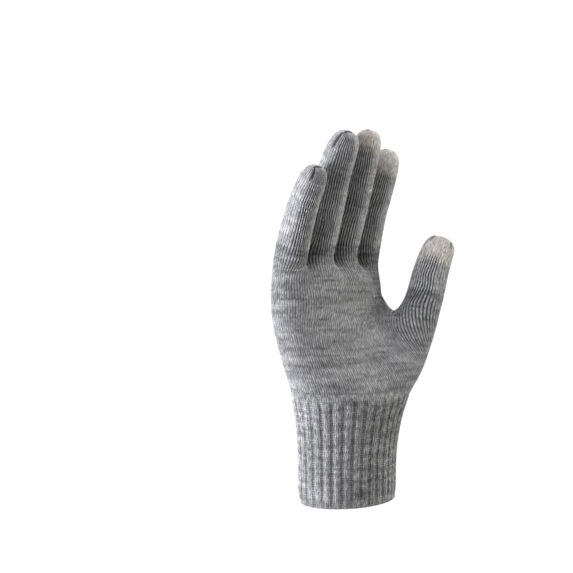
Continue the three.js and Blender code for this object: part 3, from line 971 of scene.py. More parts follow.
@dataclass(frozen=True)
class Ribbing:
    """The ribs of the cuff: knit wales that stand out and purl wales that sink in, in millimetres."""

    wales: int = 5  # wales in one rib and the furrow beside it
    knit_wales: int = 3
    top: float = 68.0
    rise: float = 0.7
    fade: float = 5.0  # height over which the ribs flatten towards the palm
    reach: float = 4.0  # how far above the cuff its stronger shading is felt
    hem: float = 8.0  # height over which the ribs flatten towards the opening
    hem_rise: float = 0.3  # share of their height that is left there
    plain_courses: int = 5  # courses over which purl stitches turn into plain ones below the palm
    blur: float = 0.3  # how much a purl stitch shows of a plain one
    speckle: float = 0.45  # how far the knit wales look like rows of dots
    profile_at: tuple[float, ...] = (0, 0.75, 1.5, 2.25, 3, 3.5, 4, 4.5, 5)  # in wales
    profile: tuple[float, ...] = (0.1, 0.8, 1, 0.8, 0.1, -0.7, -1, -0.7, 0.1)

    def raise_at(self, wales: np.ndarray, heights: np.ndarray) -> np.ndarray:
        """How far the fabric stands out at these wales and heights, in millimetres.

        Args:
            wales: (column,) wales.
            heights: (row, column) heights in millimetres.

        Returns:
            The distances, (row, column).
        """
        strength = smooth((self.top - heights) / self.fade)
        strength = strength * (self.hem_rise + (1 - self.hem_rise) * smooth(heights / self.hem))
        return self.rise * np.interp(wales % self.wales, self.profile_at, self.profile) * strength

    def is_purl(self, wales: np.ndarray) -> np.ndarray:
        """Whether each place lies in a purl wale."""
        return np.floor(wales) % self.wales >= self.knit_wales


@dataclass(frozen=True)
class Bed:
    """Where a stretch lies: its panel, the wales of its points, and its first and last course."""

    panel: Panel
    knit: Knit
    wales: np.ndarray
    low: float
    high: float
    lowest: np.ndarray  # the course below which no point of a column goes

    def aside(self) -> np.ndarray:
        """How far each point lies from the middle of its wale."""
        return np.abs(self.wales % 1 - 0.5)


@dataclass(frozen=True)
class Rows:
    """Rows of stitches on the smooth surface. Each value is by (row, column)."""

    height: np.ndarray  # in courses up the panel
    course: np.ndarray  # the course of the stitch that the point belongs to
    base: np.ndarray
    normals: np.ndarray

    def moved(self, out: np.ndarray) -> np.ndarray:
        """The points, this many millimetres out from the surface."""
        return self.base + self.normals * out[..., None]


def swell(course: np.ndarray) -> np.ndarray:
    """How far each place lies from the ends of its stitch, 0 to 1."""
    return 0.5 - 0.5 * np.cos(2 * np.pi * course)


class Weave:
    """Lays rows of stitches over stretches of the surface and makes one mesh of them."""

    EVEN_RELIEF = 0.6  # how much painted groove shade the lining and the rolled edge get, as yarn between groove and crest
    ROLL = 0.5  # how far the rolled edge stands below the opening

    def __init__(self, surface: FabricSurface, stitch: Stitch, ribbing: Ribbing, sizes: Relief) -> None:
        """Keeps the surface and the sizes of the stitches.

        Args:
            surface: the surface to lay them on.
            stitch: the size of one stitch.
            ribbing: the ribs of the cuff.
            sizes: how deep the stitches are.
        """
        self.surface = surface
        self.stitch = stitch
        self.ribbing = ribbing
        self.sizes = sizes
        self.points: list[np.ndarray] = []
        self.reliefs: list[np.ndarray] = []
        self.faces: list[np.ndarray] = []
        self.uvs: list[np.ndarray] = []
        self.sides: list[np.ndarray] = []
        self.count = 0

    def place(self, points: np.ndarray, relief: np.ndarray) -> np.ndarray:
        """Adds points and gives their numbers.

        Args:
            points: (..., 3) in millimetres.
            relief: for each, 0 in a groove and 1 on a crest.

        Returns:
            The numbers, in the shape of the relief.
        """
        numbers = self.count + np.arange(relief.size).reshape(relief.shape)
        self.count += relief.size
        self.points.append(points.reshape(-1, 3))
        self.reliefs.append(relief.ravel())
        return numbers

    def strip(self, numbers: np.ndarray, wales: np.ndarray, courses: np.ndarray, side: Side) -> np.ndarray:
        """Adds the faces between numbered rows of points.

        Args:
            numbers: (row, column) point numbers.
            wales: (column,) wale of each column.
            courses: (row, column) course of each point.
            side: which way the faces look.

        Returns:
            The numbers, as given.
        """
        right = np.roll(numbers, -1, axis=1)
        faces = np.stack([numbers[:-1], right[:-1], right[1:], numbers[1:]], axis=-1)
        step = wales[1] - wales[0]
        u = np.broadcast_to(wales, numbers.shape)
        v_right = np.roll(courses, -1, axis=1)
        u4 = np.stack([u[:-1], u[:-1] + step, u[1:] + step, u[1:]], axis=-1)
        v4 = np.stack([courses[:-1], v_right[:-1], v_right[1:], courses[1:]], axis=-1)
        uv = np.stack([u4, v4], axis=-1)
        if side is Side.INSIDE:
            faces, uv = faces[..., ::-1], uv[:, :, ::-1]
        self.faces.append(faces.reshape(-1, 4))
        self.uvs.append(uv.reshape(-1, 4, 2))
        self.sides.append(np.full(faces.shape[0] * faces.shape[1], side.value))
        return numbers

    def bed(self, stretch: Stretch, knit: Knit) -> Bed:
        """Works out where a stretch lies.

        Args:
            stretch: what to cover.
            knit: plain or ribbed.

        Returns:
            The bed for its rows.
        """
        panel = self.surface.panels[stretch.panel]
        wales = np.arange(panel.wales * POINTS_PER_WALE) / POINTS_PER_WALE
        lead = math.ceil(self.stitch.lean / 2 * self.stitch.rows) / self.stitch.rows
        low = -lead if stretch.start is None else stretch.start
        high = panel.courses if stretch.stop is None else stretch.stop
        lowest = np.zeros(len(wales))
        if stretch.above_rib:
            lowest[self.ribbing.is_purl(wales)] = low + self.stitch.lean / 2
        return Bed(panel, knit, wales, low, high, lowest)

    def rows(self, bed: Bed, courses: np.ndarray) -> Rows:
        """Rows of stitches that begin at these courses.

        Args:
            bed: where they lie.
            courses: (row,) courses.

        Returns:
            The rows, whose points climb along the legs of their stitches.
        """
        panel = bed.panel
        climb = self.stitch.lean * bed.aside()
        slope = climb
        if bed.knit is Knit.RIB:
            slope = np.where(self.ribbing.is_purl(bed.wales), self.stitch.lean / 2, climb)
        height = np.clip(courses[:, None] + slope, bed.lowest, panel.courses)
        across, up = panel.wander(height, bed.wales)
        columns = (bed.wales + across) * FINE / WALES_PER_COLUMN
        base = panel.read(panel.points, height + up, columns)
        return Rows(height, height - climb, base, unit(panel.read(panel.normals, height + up, columns)))

    def lay(self, stretch: Stretch, knit: Knit) -> None:
        """Lays the outer face, the lining and the rims of one stretch.

        Args:
            stretch: what to cover.
            knit: plain or ribbed.
        """
        bed = self.bed(stretch, knit)
        per_course = self.stitch.rows
        fine = np.arange(round(bed.low * per_course), round(bed.high * per_course) + 1) / per_course
        rows = self.rows(bed, fine)
        out, relief = self.shape(bed, rows)
        outer = self.strip(self.place(rows.moved(out), relief), bed.wales, rows.course, Side.OUTSIDE)

        rough = np.arange(bed.low, bed.high, self.stitch.lining_courses)
        rows = self.rows(bed, np.unique(np.append(rough, bed.high)))
        out = np.full(rows.height.shape, -WALL)
        if knit is Knit.RIB:
            out = out + self.ribbing.raise_at(bed.wales, rows.base[..., 2])
        even = np.full(rows.height.shape, self.EVEN_RELIEF)
        lining = self.strip(self.place(rows.moved(out), even), bed.wales, rows.course, Side.INSIDE)
        if stretch.rim_start:
            self.rim([lining[0], outer[0]], bed.wales, rows.course[0], knit is Knit.RIB)
        if stretch.rim_stop:
            self.rim([outer[-1], lining[-1]], bed.wales, rows.course[-1], False)

    def rim(self, edges: list[np.ndarray], wales: np.ndarray, course: np.ndarray, rolled: bool) -> None:
        """Joins the outer face to the lining along an edge.

        Args:
            edges: point numbers along the two edges, in the order that makes the rim face outwards.
            wales: (column,) wale of each.
            course: (column,) course of each.
            rolled: whether the edge is the rolled one at the opening.
        """
        if rolled:
            points = np.vstack(self.points)
            middle = (points[edges[0]] + points[edges[1]]) / 2 - np.array([0, 0, self.ROLL])
            edges = [edges[0], self.place(middle, np.full(len(middle), self.EVEN_RELIEF)), edges[1]]
        courses = np.broadcast_to(course, (len(edges), len(course)))
        self.strip(np.array(edges), wales, courses, Side.OUTSIDE if rolled else Side.RIM)

    def shape(self, bed: Bed, rows: Rows) -> tuple[np.ndarray, np.ndarray]:
        """How the stitches of an outer face stand out, and how much painted shade darkens them.

        Args:
            bed: where they lie.
            rows: the rows of points.

        Returns:
            Millimetres out from the surface, and the relief that sets the painted shade, from 0 in a groove
            to 1 on a crest.
        """
        panel, sizes = bed.panel, self.sizes
        stall = sizes.stall_share(panel, rows.height, bed.wales)
        relief = self.yarn_relief(bed, rows, stall)
        out = np.interp(stall, (0, 1), sizes.groove) * (relief - 1)
        # From here on the relief sets only painted shade in the yarn's colour: darker towards the grooves.
        relief = relief ** np.interp(stall, (0, 1), sizes.shadow)
        contrast = np.interp(stall, (0, 1), sizes.contrast)
        near_cuff = smooth(1 - (rows.base[..., 2] - self.ribbing.top) / self.ribbing.reach)
        relief = 1 - (contrast + (1 - contrast) * near_cuff) * (1 - relief)
        # The seam and creases sink in for real; painted shade darkens them and the shade patch.
        if panel.stall:
            sunk, dark = sizes.closure(panel, rows.height, bed.wales)
            out = out - sizes.sink * sunk
            relief = relief * (1 - dark)
        if bed.knit is Knit.RIB:
            out = out + self.ribbing.raise_at(bed.wales, rows.base[..., 2])
        return out, relief

    def yarn_relief(self, bed: Bed, rows: Rows, stall: np.ndarray) -> np.ndarray:
        """Height of the yarn over a stretch, 0 in a groove and 1 on a crest.

        Args:
            bed: where the rows lie.
            rows: the rows of points.
            stall: (row, column) shares of a stall's stitches.

        Returns:
            The heights, (row, column).
        """
        relief = self.plain_relief(bed, rows, stall)
        if bed.panel.stall:
            pale = self.sizes.pale(bed.panel, bed.panel.courses - rows.height)
            relief = relief + self.sizes.pale_speckle * pale * (self.dotted_relief(bed, rows) - relief)
        if bed.knit is Knit.RIB:
            relief = relief + self.ribbing.speckle * (self.dotted_relief(bed, rows) - relief)
            purl = self.ribbing.is_purl(bed.wales)
            begins = rows.height - self.stitch.lean / 2
            plain = smooth(1 - (bed.high - begins) / self.ribbing.plain_courses)
            plain = np.maximum(plain, self.ribbing.blur)
            relief = np.where(purl, plain * relief + (1 - plain) * self.purl_relief(bed, begins), relief)
        return relief

    def plain_relief(self, bed: Bed, rows: Rows, stall: np.ndarray) -> np.ndarray:
        """Height of the yarn in plain knitting.

        Args:
            bed: where the rows lie.
            rows: the rows of points.
            stall: (row, column) shares of a stall's stitches.

        Returns:
            The heights, (row, column).
        """
        sizes, aside = self.sizes, bed.aside()
        beads = np.interp(stall, (0, 1), sizes.beads)
        legs = sizes.legs * (0.5 - 0.5 * np.cos(4 * np.pi * aside)) + sizes.middle * (1 - 2 * aside) ** 2
        ridge = 0.5 + 0.5 * np.cos(2 * np.pi * aside)
        wale = (1 - stall) * legs + stall * ridge
        full = 1 - np.interp(stall, (0, 1), sizes.uneven) * bed.panel.chance(rows.course, bed.wales)
        return np.clip(wale * (1 - beads + beads * swell(rows.course)) * full, 0, 1)

    def dotted_relief(self, bed: Bed, rows: Rows) -> np.ndarray:
        """Height of the yarn where only the tops of single stitches show.

        Args:
            bed: where the rows lie.
            rows: the rows of points.

        Returns:
            The heights, (row, column).
        """
        low, uneven = self.sizes.dots
        full = 1 - uneven * bed.panel.chance(rows.course, bed.wales)
        return (low + (1 - low) * swell(rows.course)) * full

    def purl_relief(self, bed: Bed, course: np.ndarray) -> np.ndarray:
        """Height of the yarn in purl stitches, which lie as low bars across the wale."""
        low, high, uneven = self.sizes.purl
        return low + high * swell(course) * (1 - uneven * bed.panel.chance(course, bed.wales))

    def mesh(self, name: str) -> bpy.types.Object:
        """Makes the object and welds the points that fall together along clamped edges.

        Args:
            name: the object's name.

        Returns:
            The object, in metres.
        """
        points = np.vstack(self.points) * MM
        faces = np.vstack(self.faces)
        mesh = bpy.data.meshes.new(name)
        mesh.vertices.add(len(points))
        mesh.vertices.foreach_set("co", points.astype(np.float32).ravel())
        mesh.loops.add(faces.size)
        mesh.loops.foreach_set("vertex_index", faces.astype(np.int32).ravel())
        mesh.polygons.add(len(faces))
        mesh.polygons.foreach_set("loop_start", np.arange(0, faces.size, 4, dtype=np.int32))
        mesh.polygons.foreach_set("material_index", np.concatenate(self.sides).astype(np.int32))
        uvs = np.vstack(self.uvs).astype(np.float32)
        mesh.uv_layers.new(name="knit").data.foreach_set("uv", uvs.ravel())
        # The relief sets the painted groove shade in the heather material.
        relief = mesh.attributes.new("relief", "FLOAT", "POINT")
        relief.data.foreach_set("value", np.concatenate(self.reliefs).astype(np.float32))
        mesh.update(calc_edges=True)
        welded = bmesh.new()
        welded.from_mesh(mesh)
        bmesh.ops.remove_doubles(welded, verts=welded.verts, dist=WELD * MM)
        welded.to_mesh(mesh)
        welded.free()
        mesh.validate()
        mesh.shade_smooth()
        self.sharpen_rims(mesh)
        piece = bpy.data.objects.new(name, mesh)
        bpy.context.scene.collection.objects.link(piece)
        return piece

    @staticmethod
    def sharpen_rims(mesh: bpy.types.Mesh) -> None:
        """Parts the shading of the rims from the faces beside them; the rims get the lining's material.

        Args:
            mesh: the mesh, whose material numbers are still the sides.
        """
        sides = np.zeros(len(mesh.polygons), np.int32)
        mesh.polygons.foreach_get("material_index", sides)
        sizes = np.zeros(len(mesh.polygons), np.int32)
        mesh.polygons.foreach_get("loop_total", sizes)
        edge_of_loop = np.zeros(len(mesh.loops), np.int32)
        mesh.loops.foreach_get("edge_index", edge_of_loop)
        side_of_loop = np.repeat(sides, sizes)
        rims = np.bincount(edge_of_loop, side_of_loop == Side.RIM.value, len(mesh.edges)) > 0
        others = np.bincount(edge_of_loop, side_of_loop != Side.RIM.value, len(mesh.edges)) > 0
        sharp = mesh.attributes.new("sharp_edge", "BOOLEAN", "EDGE")
        sharp.data.foreach_set("value", rims & others)
        mesh.polygons.foreach_set("material_index", np.minimum(sides, Side.INSIDE.value))


class NodeSheet:
    """A node tree that is filled by short calls."""

    def __init__(self, tree: bpy.types.NodeTree) -> None:
        """Keeps the tree."""
        self.tree = tree

    def node(self, kind: str, **settings: object) -> bpy.types.Node:
        """Adds a node and sets its properties.

        Args:
            kind: the node's type.
            settings: property name to its value.

        Returns:
            The node.
        """
        made = self.tree.nodes.new(kind)
        for key, value in settings.items():
            setattr(made, key, value)
        return made

    def feed(self, socket: bpy.types.NodeSocket, value: object) -> None:
        """Links another socket to this one, or sets a plain value on it.

        Args:
            socket: the input.
            value: a socket or a plain value.
        """
        if isinstance(value, bpy.types.NodeSocket):
            self.tree.links.new(value, socket)
        else:
            socket.default_value = value

    def fill(self, node: bpy.types.Node, values: dict[str, object]) -> bpy.types.Node:
        """Feeds several inputs of a node by their names.

        Args:
            node: the node.
            values: input name to a socket or a plain value.

        Returns:
            The same node.
        """
        for label, value in values.items():
            self.feed(node.inputs[label], value)
        return node

    def maths(self, operation: str, a: object, b: object = 0.0) -> bpy.types.NodeSocket:
        """The result of one sum of two values, or of one value alone.

        Args:
            operation: what to work out.
            a: a socket or a plain value.
            b: another one, where it needs two.

        Returns:
            The result.
        """
        made = self.node("ShaderNodeMath", operation=operation)
        self.feed(made.inputs[0], a)
        self.feed(made.inputs[1], b)
        return made.outputs[0]

    def times(self, a: object, b: object) -> bpy.types.NodeSocket:
        """Two values multiplied."""
        return self.maths("MULTIPLY", a, b)

    def ease(self, value: object, low: float, high: float) -> bpy.types.NodeSocket:
        """Eases from 0 to 1 as the value goes from low to high.

        Args:
            value: a socket or a plain value.
            low: where it begins.
            high: where it ends.

        Returns:
            The share.
        """
        made = self.node("ShaderNodeMapRange", interpolation_type="SMOOTHSTEP")
        self.fill(made, {"Value": value, "From Min": low, "From Max": high})
        return made.outputs[0]

    def blend(self, share: object, a: object, b: object, kind: str = "MIX") -> bpy.types.NodeSocket:
        """Two colours mixed, or combined by kind, by a share.

        Args:
            share: how far to go from the first to the second.
            a: the first colour.
            b: the second colour.
            kind: how they are combined.

        Returns:
            The colour.
        """
        made = self.node("ShaderNodeMix", data_type="RGBA", blend_type=kind)
        colour_a, colour_b = (socket for socket in made.inputs if socket.type == "RGBA")
        for socket, value in ((made.inputs["Factor"], share), (colour_a, a), (colour_b, b)):
            self.feed(socket, value)
        return next(socket for socket in made.outputs if socket.type == "RGBA")

    def noise(
        self, place: object, detail: float, scale: float = 1.0, rough: float = 0.5
    ) -> bpy.types.NodeSocket:
        """Smooth noise about one half.

        Args:
            place: where it is read.
            detail: how many finer layers it has.
            scale: how fine it is.
            rough: how strong the finer layers are.

        Returns:
            The noise.
        """
        made = self.node("ShaderNodeTexNoise", noise_dimensions="3D")
        self.fill(made, {"Vector": place, "Scale": scale, "Detail": detail, "Roughness": rough})
        return made.outputs[0]

    def join(self, x: object, y: object, z: object) -> bpy.types.NodeSocket:
        """A vector of three values."""
        return self.fill(self.node("ShaderNodeCombineXYZ"), {"X": x, "Y": y, "Z": z}).outputs[0]

    def split(self, vector: bpy.types.NodeSocket) -> list[bpy.types.NodeSocket]:
        """The three values of a vector."""
        return list(self.fill(self.node("ShaderNodeSeparateXYZ"), {"Vector": vector}).outputs)

    def knit_place(self) -> list[bpy.types.NodeSocket]:
        """The wale and the course of each point, from the mesh's own layer."""
        return self.split(self.node("ShaderNodeUVMap", uv_map="knit").outputs[0])[:2]

    def object_place(self) -> bpy.types.NodeSocket:
        """Where each point lies in the glove's own frame, in metres."""
        return self.node("ShaderNodeTexCoord").outputs["Object"]


@dataclass(frozen=True)
class Mottle:
    """Noise that is drawn out along the courses."""

    along: float  # how fine it is along a course
    between: float  # how much it changes from one course to the next
    detail: float
    roughness: float


class YarnGroups:
    """Shader node groups that every knitted material shares."""

    STREAKS = Mottle(along=55.0, between=0.83, detail=2.0, roughness=0.6)
    PATCHES = Mottle(along=24.0, between=0.28, detail=1.0, roughness=0.5)
    GROOVE_SHADE_RANGE = (0.1, 0.95)  # relief between which the painted groove shade goes from dark to light
    STRANDS = (5.0, 11.0)  # strands of fibre across a wale and a course
    FUZZ_FINENESS = 1600.0
    FUZZ_SHARE = 0.6

    def __init__(self) -> None:
        """Builds each group once."""
        self.heather = self.build_heather()
        self.fibres = self.build_fibres()

    @staticmethod
    def open_group(name: str, inputs: dict[str, object], output: tuple[str, str]) -> NodeSheet:
        """Starts a new group with its sockets.

        Args:
            name: the group's name.
            inputs: socket name to its default: a colour or a plain value.
            output: name and type of the one output socket.

        Returns:
            A sheet over the group.
        """
        group = bpy.data.node_groups.new(name, "ShaderNodeTree")
        for label, default in inputs.items():
            kind = "NodeSocketColor" if isinstance(default, tuple) else "NodeSocketFloat"
            socket = group.interface.new_socket(name=label, in_out="INPUT", socket_type=kind)
            socket.default_value = default
        group.interface.new_socket(name=output[0], in_out="OUTPUT", socket_type=output[1])
        return NodeSheet(group)

    @staticmethod
    def mottle(sheet: NodeSheet, course: bpy.types.NodeSocket, kind: Mottle) -> bpy.types.NodeSocket:
        """Noise drawn out along the courses, with one value from the foot of a stitch to its top.

        Args:
            sheet: the sheet to work on.
            course: the whole course of each point.
            kind: how fine the noise is.

        Returns:
            The noise, about one half.
        """
        x, y, _ = sheet.split(sheet.object_place())
        across = (sheet.times(x, kind.along), sheet.times(y, kind.along))
        place = sheet.join(*across, sheet.times(course, kind.between))
        return sheet.noise(place, kind.detail, rough=kind.roughness)

    def build_heather(self) -> bpy.types.NodeTree:
        """Mottled yarn: streaks and patches along the courses, flecks on single stitches, and painted shade
        in the grooves.

        Returns:
            The node group.
        """
        sheet = self.open_group(
            "heather_yarn",
            {
                "Light": (0.6, 0.6, 0.6, 1),
                "Dark": (0.3, 0.3, 0.3, 1),
                "Streaks": 0.7,
                "Patches": 0.7,
                "Flecks": 0.3,
                "Groove": 0.45,
            },
            ("Color", "NodeSocketColor"),
        )
        given = sheet.node("NodeGroupInput").outputs
        wale, height = sheet.knit_place()
        course = sheet.maths("FLOOR", height)
        leg = sheet.maths("FLOOR", sheet.times(wale, 2.0))
        fleck = sheet.node("ShaderNodeTexWhiteNoise", noise_dimensions="2D")
        sheet.fill(fleck, {"Vector": sheet.join(leg, course, 0.0)})
        share = 0.5
        for label, noise in (
            ("Streaks", self.mottle(sheet, course, self.STREAKS)),
            ("Flecks", fleck.outputs["Value"]),
            ("Patches", self.mottle(sheet, course, self.PATCHES)),
        ):
            part = sheet.times(sheet.maths("SUBTRACT", noise, 0.5), given[label])
            share = sheet.maths("ADD", part, share)
        yarn = sheet.blend(share, given["Dark"], given["Light"])
        # Painted shade: the yarn's colour is darkened towards the grooves by the relief.
        relief = sheet.node("ShaderNodeAttribute", attribute_name="relief").outputs["Fac"]
        lit = sheet.times(sheet.ease(relief, *self.GROOVE_SHADE_RANGE), given["Groove"])
        shade = sheet.maths("ADD", lit, sheet.maths("SUBTRACT", 1.0, given["Groove"]))
        colour = sheet.blend(1.0, yarn, sheet.join(shade, shade, shade), "MULTIPLY")
        sheet.fill(sheet.node("NodeGroupOutput"), {"Color": colour})
        return sheet.tree

    def build_fibres(self) -> bpy.types.NodeTree:
        """Fine fibres that run along the yarn, and the fuzz over them, as a height.

        Returns:
            The node group.
        """
        sheet = self.open_group("yarn_fibres", {"Fineness": 1.0}, ("Height", "NodeSocketFloat"))
        given = sheet.node("NodeGroupInput").outputs
        wale, height = sheet.knit_place()
        per_wale, per_course = self.STRANDS
        up = sheet.times(sheet.times(height, per_course), given["Fineness"])
        strands = sheet.noise(sheet.join(sheet.times(wale, per_wale), up, 0.0), 2.0)
        fuzz = sheet.times(sheet.noise(sheet.object_place(), 1.0, self.FUZZ_FINENESS), self.FUZZ_SHARE)
        sheet.fill(sheet.node("NodeGroupOutput"), {"Height": sheet.maths("ADD", strands, fuzz)})
        return sheet.tree


@dataclass(frozen=True)
class YarnFinish:
    """One yarn: two colours of fibre, how strongly they streak, and how much painted shade darkens it between
    the stitches.
    """

    name: str
    slot: str
    light: tuple[float, float, float]
    dark: tuple[float, float, float]
    streaks: float = 1.7
    patches: float = 1.0
    flecks: float = 0.45
    # painted shade: how much the yarn's colour is darkened in the grooves
    groove: float = 0.92
    fineness: float = 1.0
    roughness: float = 0.92
    specular: float = 0.2
    sheen: float = 0.03
    sheen_roughness: float = 0.5
    bump: float = 0.5
    bump_height: float = 0.2  # in millimetres

    def material(self, groups: YarnGroups) -> bpy.types.Material:
        """Builds the material.

        Args:
            groups: the shared node groups.

        Returns:
            The material.
        """
        made = bpy.data.materials.new(self.name)
        made.use_nodes = True
        sheet = NodeSheet(made.node_tree)
        shader = made.node_tree.nodes["Principled BSDF"]
        heather = sheet.fill(
            sheet.node("ShaderNodeGroup", node_tree=groups.heather),
            {
                "Light": (*self.light, 1),
                "Dark": (*self.dark, 1),
                "Streaks": self.streaks,
                "Patches": self.patches,
                "Flecks": self.flecks,
                "Groove": self.groove,
            },
        )
        fibres = sheet.node("ShaderNodeGroup", node_tree=groups.fibres)
        sheet.fill(fibres, {"Fineness": self.fineness})
        bump = sheet.node("ShaderNodeBump")
        height = fibres.outputs["Height"]
        sheet.fill(bump, {"Strength": self.bump, "Distance": self.bump_height * MM, "Height": height})
        sheet.fill(
            shader,
            {
                "Base Color": heather.outputs["Color"],
                "Normal": bump.outputs["Normal"],
                "Roughness": self.roughness,
                "Specular IOR Level": self.specular,
                "Sheen Weight": self.sheen,
                "Sheen Roughness": self.sheen_roughness,
            },
        )
        return made


class Finishes:
    """Every material of the glove."""

    def __init__(self) -> None:
        """Builds the shared groups and then the materials."""
        groups = YarnGroups()
        self.hand = YarnFinish("grey_heather_knit", "grey_knit", (0.64, 0.64, 0.65), (0.222, 0.222, 0.231))
        # A lighter copy of the same grey yarn for the stalls: painted light that makes up for the painted
        # groove shade on their faces.
        self.stall = YarnFinish(
            "grey_heather_stall",
            "grey_knit",
            (0.88, 0.88, 0.89),
            (0.36, 0.36, 0.37),
            streaks=1.1,
            patches=0.9,
        )
        self.rib = YarnFinish(
            "grey_heather_rib",
            "rib_knit",
            (0.82, 0.82, 0.83),
            (0.31, 0.31, 0.32),
            streaks=2.0,
            patches=0.8,
        )
        self.touch = YarnFinish(
            "pale_touch_yarn",
            "touch_knit",
            (0.94, 0.885, 0.83),
            (0.63, 0.585, 0.55),
            streaks=0.6,
            patches=0.4,
            flecks=1.0,
            groove=0.8,
        )
        self.lining = YarnFinish("inner_face", "grey_knit", (0.5, 0.5, 0.51), (0.3, 0.3, 0.31), groove=0.2)
        every = (self.hand, self.stall, self.rib, self.touch, self.lining)
        self.made = {finish.name: finish.material(groups) for finish in every}

    def dress(self, piece: bpy.types.Object, finish: YarnFinish, nodes: tuple[str, ...]) -> None:
        """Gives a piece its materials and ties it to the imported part.

        Args:
            piece: the mesh.
            finish: the yarn of its outer face.
            nodes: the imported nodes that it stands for.
        """
        piece.data.materials.append(self.made[finish.name])
        piece.data.materials.append(self.made[self.lining.name])
        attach(piece, "root")
        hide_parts(*nodes)


@dataclass
class Glove:
    """Shared sizes and makers of the knitted pieces."""

    form: HandForm = field(default_factory=HandForm)
    stitch: Stitch = field(default_factory=Stitch)
    ribbing: Ribbing = field(default_factory=Ribbing)
    relief: Relief = field(default_factory=Relief)

    def __post_init__(self) -> None:
        """Works out the surface once."""
        self.surface = FabricSurface(self.form, self.stitch)

    def cuff_courses(self) -> int:
        """The course at which the cuff ends and the palm begins."""
        return self.surface.panels["hand"].course_at_height(self.ribbing.top)

    def knit(self, name: str, stretches: list[Stretch], knit: Knit = Knit.PLAIN) -> bpy.types.Object:
        """One knitted piece.

        Args:
            name: the object's name.
            stretches: what it covers.
            knit: plain or ribbed.

        Returns:
            The object.
        """
        weave = Weave(self.surface, self.stitch, self.ribbing, self.relief)
        for stretch in stretches:
            weave.lay(stretch, knit)
        piece = weave.mesh(name)
        log.info("%s: %d faces", name, len(piece.data.polygons))
        return piece


@dataclass
class Cuff:
    """The ribbed cuff."""

    glove: Glove

    def build(self, finishes: Finishes) -> None:
        """Knits and dresses the cuff."""
        piece = self.glove.knit("knit_cuff", [Stretch("hand", None, self.glove.cuff_courses())], Knit.RIB)
        finishes.dress(piece, finishes.rib, ("cuff",))


@dataclass
class Palm:
    """The hand from the cuff to the feet of the stalls, in a lower and an upper piece."""

    glove: Glove
    foot: float = 9.0  # how much of each stall belongs to the palm
    fewest_courses: int = 3

    def foot_courses(self, sizes: StallSizes) -> int:
        """The course at which a stall takes over from the palm."""
        panel = self.glove.surface.panels[sizes.name]
        return max(self.fewest_courses, panel.course_where(self.foot, sizes.points[0].centre()))

    def build(self, finishes: Finishes) -> None:
        """Knits and dresses both pieces.

        Args:
            finishes: the glove's materials.
        """
        start = self.glove.cuff_courses()
        lower = self.glove.knit("knit_palm_lower", [Stretch("hand", start, above_rib=True)])
        finishes.dress(lower, finishes.hand, ("palm",))
        stretches = [Stretch("palm", rim_stop=False)]
        for sizes in self.glove.form.fingers:
            stretches.append(Stretch(sizes.name, None, self.foot_courses(sizes), rim_start=False))
        thumb = self.glove.form.thumb
        stretches.append(Stretch(thumb.name, None, self.foot_courses(thumb)))
        upper = self.glove.knit("knit_palm_upper", stretches)
        finishes.dress(upper, finishes.hand, ("palm",))


@dataclass
class StallPiece:
    """One finger or the thumb, with its pale tip where it has one."""

    glove: Glove
    palm: Palm
    sizes: StallSizes

    def build(self, finishes: Finishes) -> None:
        """Knits and dresses the stall, then its tip.

        Args:
            finishes: the glove's materials.
        """
        sizes, knit = self.sizes, self.glove.knit
        start = self.palm.foot_courses(sizes)
        if not sizes.pale_tip:
            piece = knit("knit_" + sizes.name, [Stretch(sizes.name, start, rim_stop=False)])
            finishes.dress(piece, finishes.stall, (sizes.name,))
            return
        panel = self.glove.surface.panels[sizes.name]
        change = panel.course_where(sizes.pale_tip, sizes.points[-1].centre())
        piece = knit("knit_" + sizes.name, [Stretch(sizes.name, start, change)])
        finishes.dress(piece, finishes.stall, (sizes.name,))
        tip = sizes.name.replace("_finger", "") + "_tip"
        piece = knit("knit_" + tip, [Stretch(sizes.name, change, rim_stop=False)])
        finishes.dress(piece, finishes.touch, (tip,))


@dataclass(frozen=True)
class Lamp:
    """A soft square light, placed from the middle of the glove: rightwards, nearer and up, in metres."""

    name: str
    right: float
    nearer: float
    up: float
    power: float
    colour: tuple[float, float, float]
    size: float = 0.6


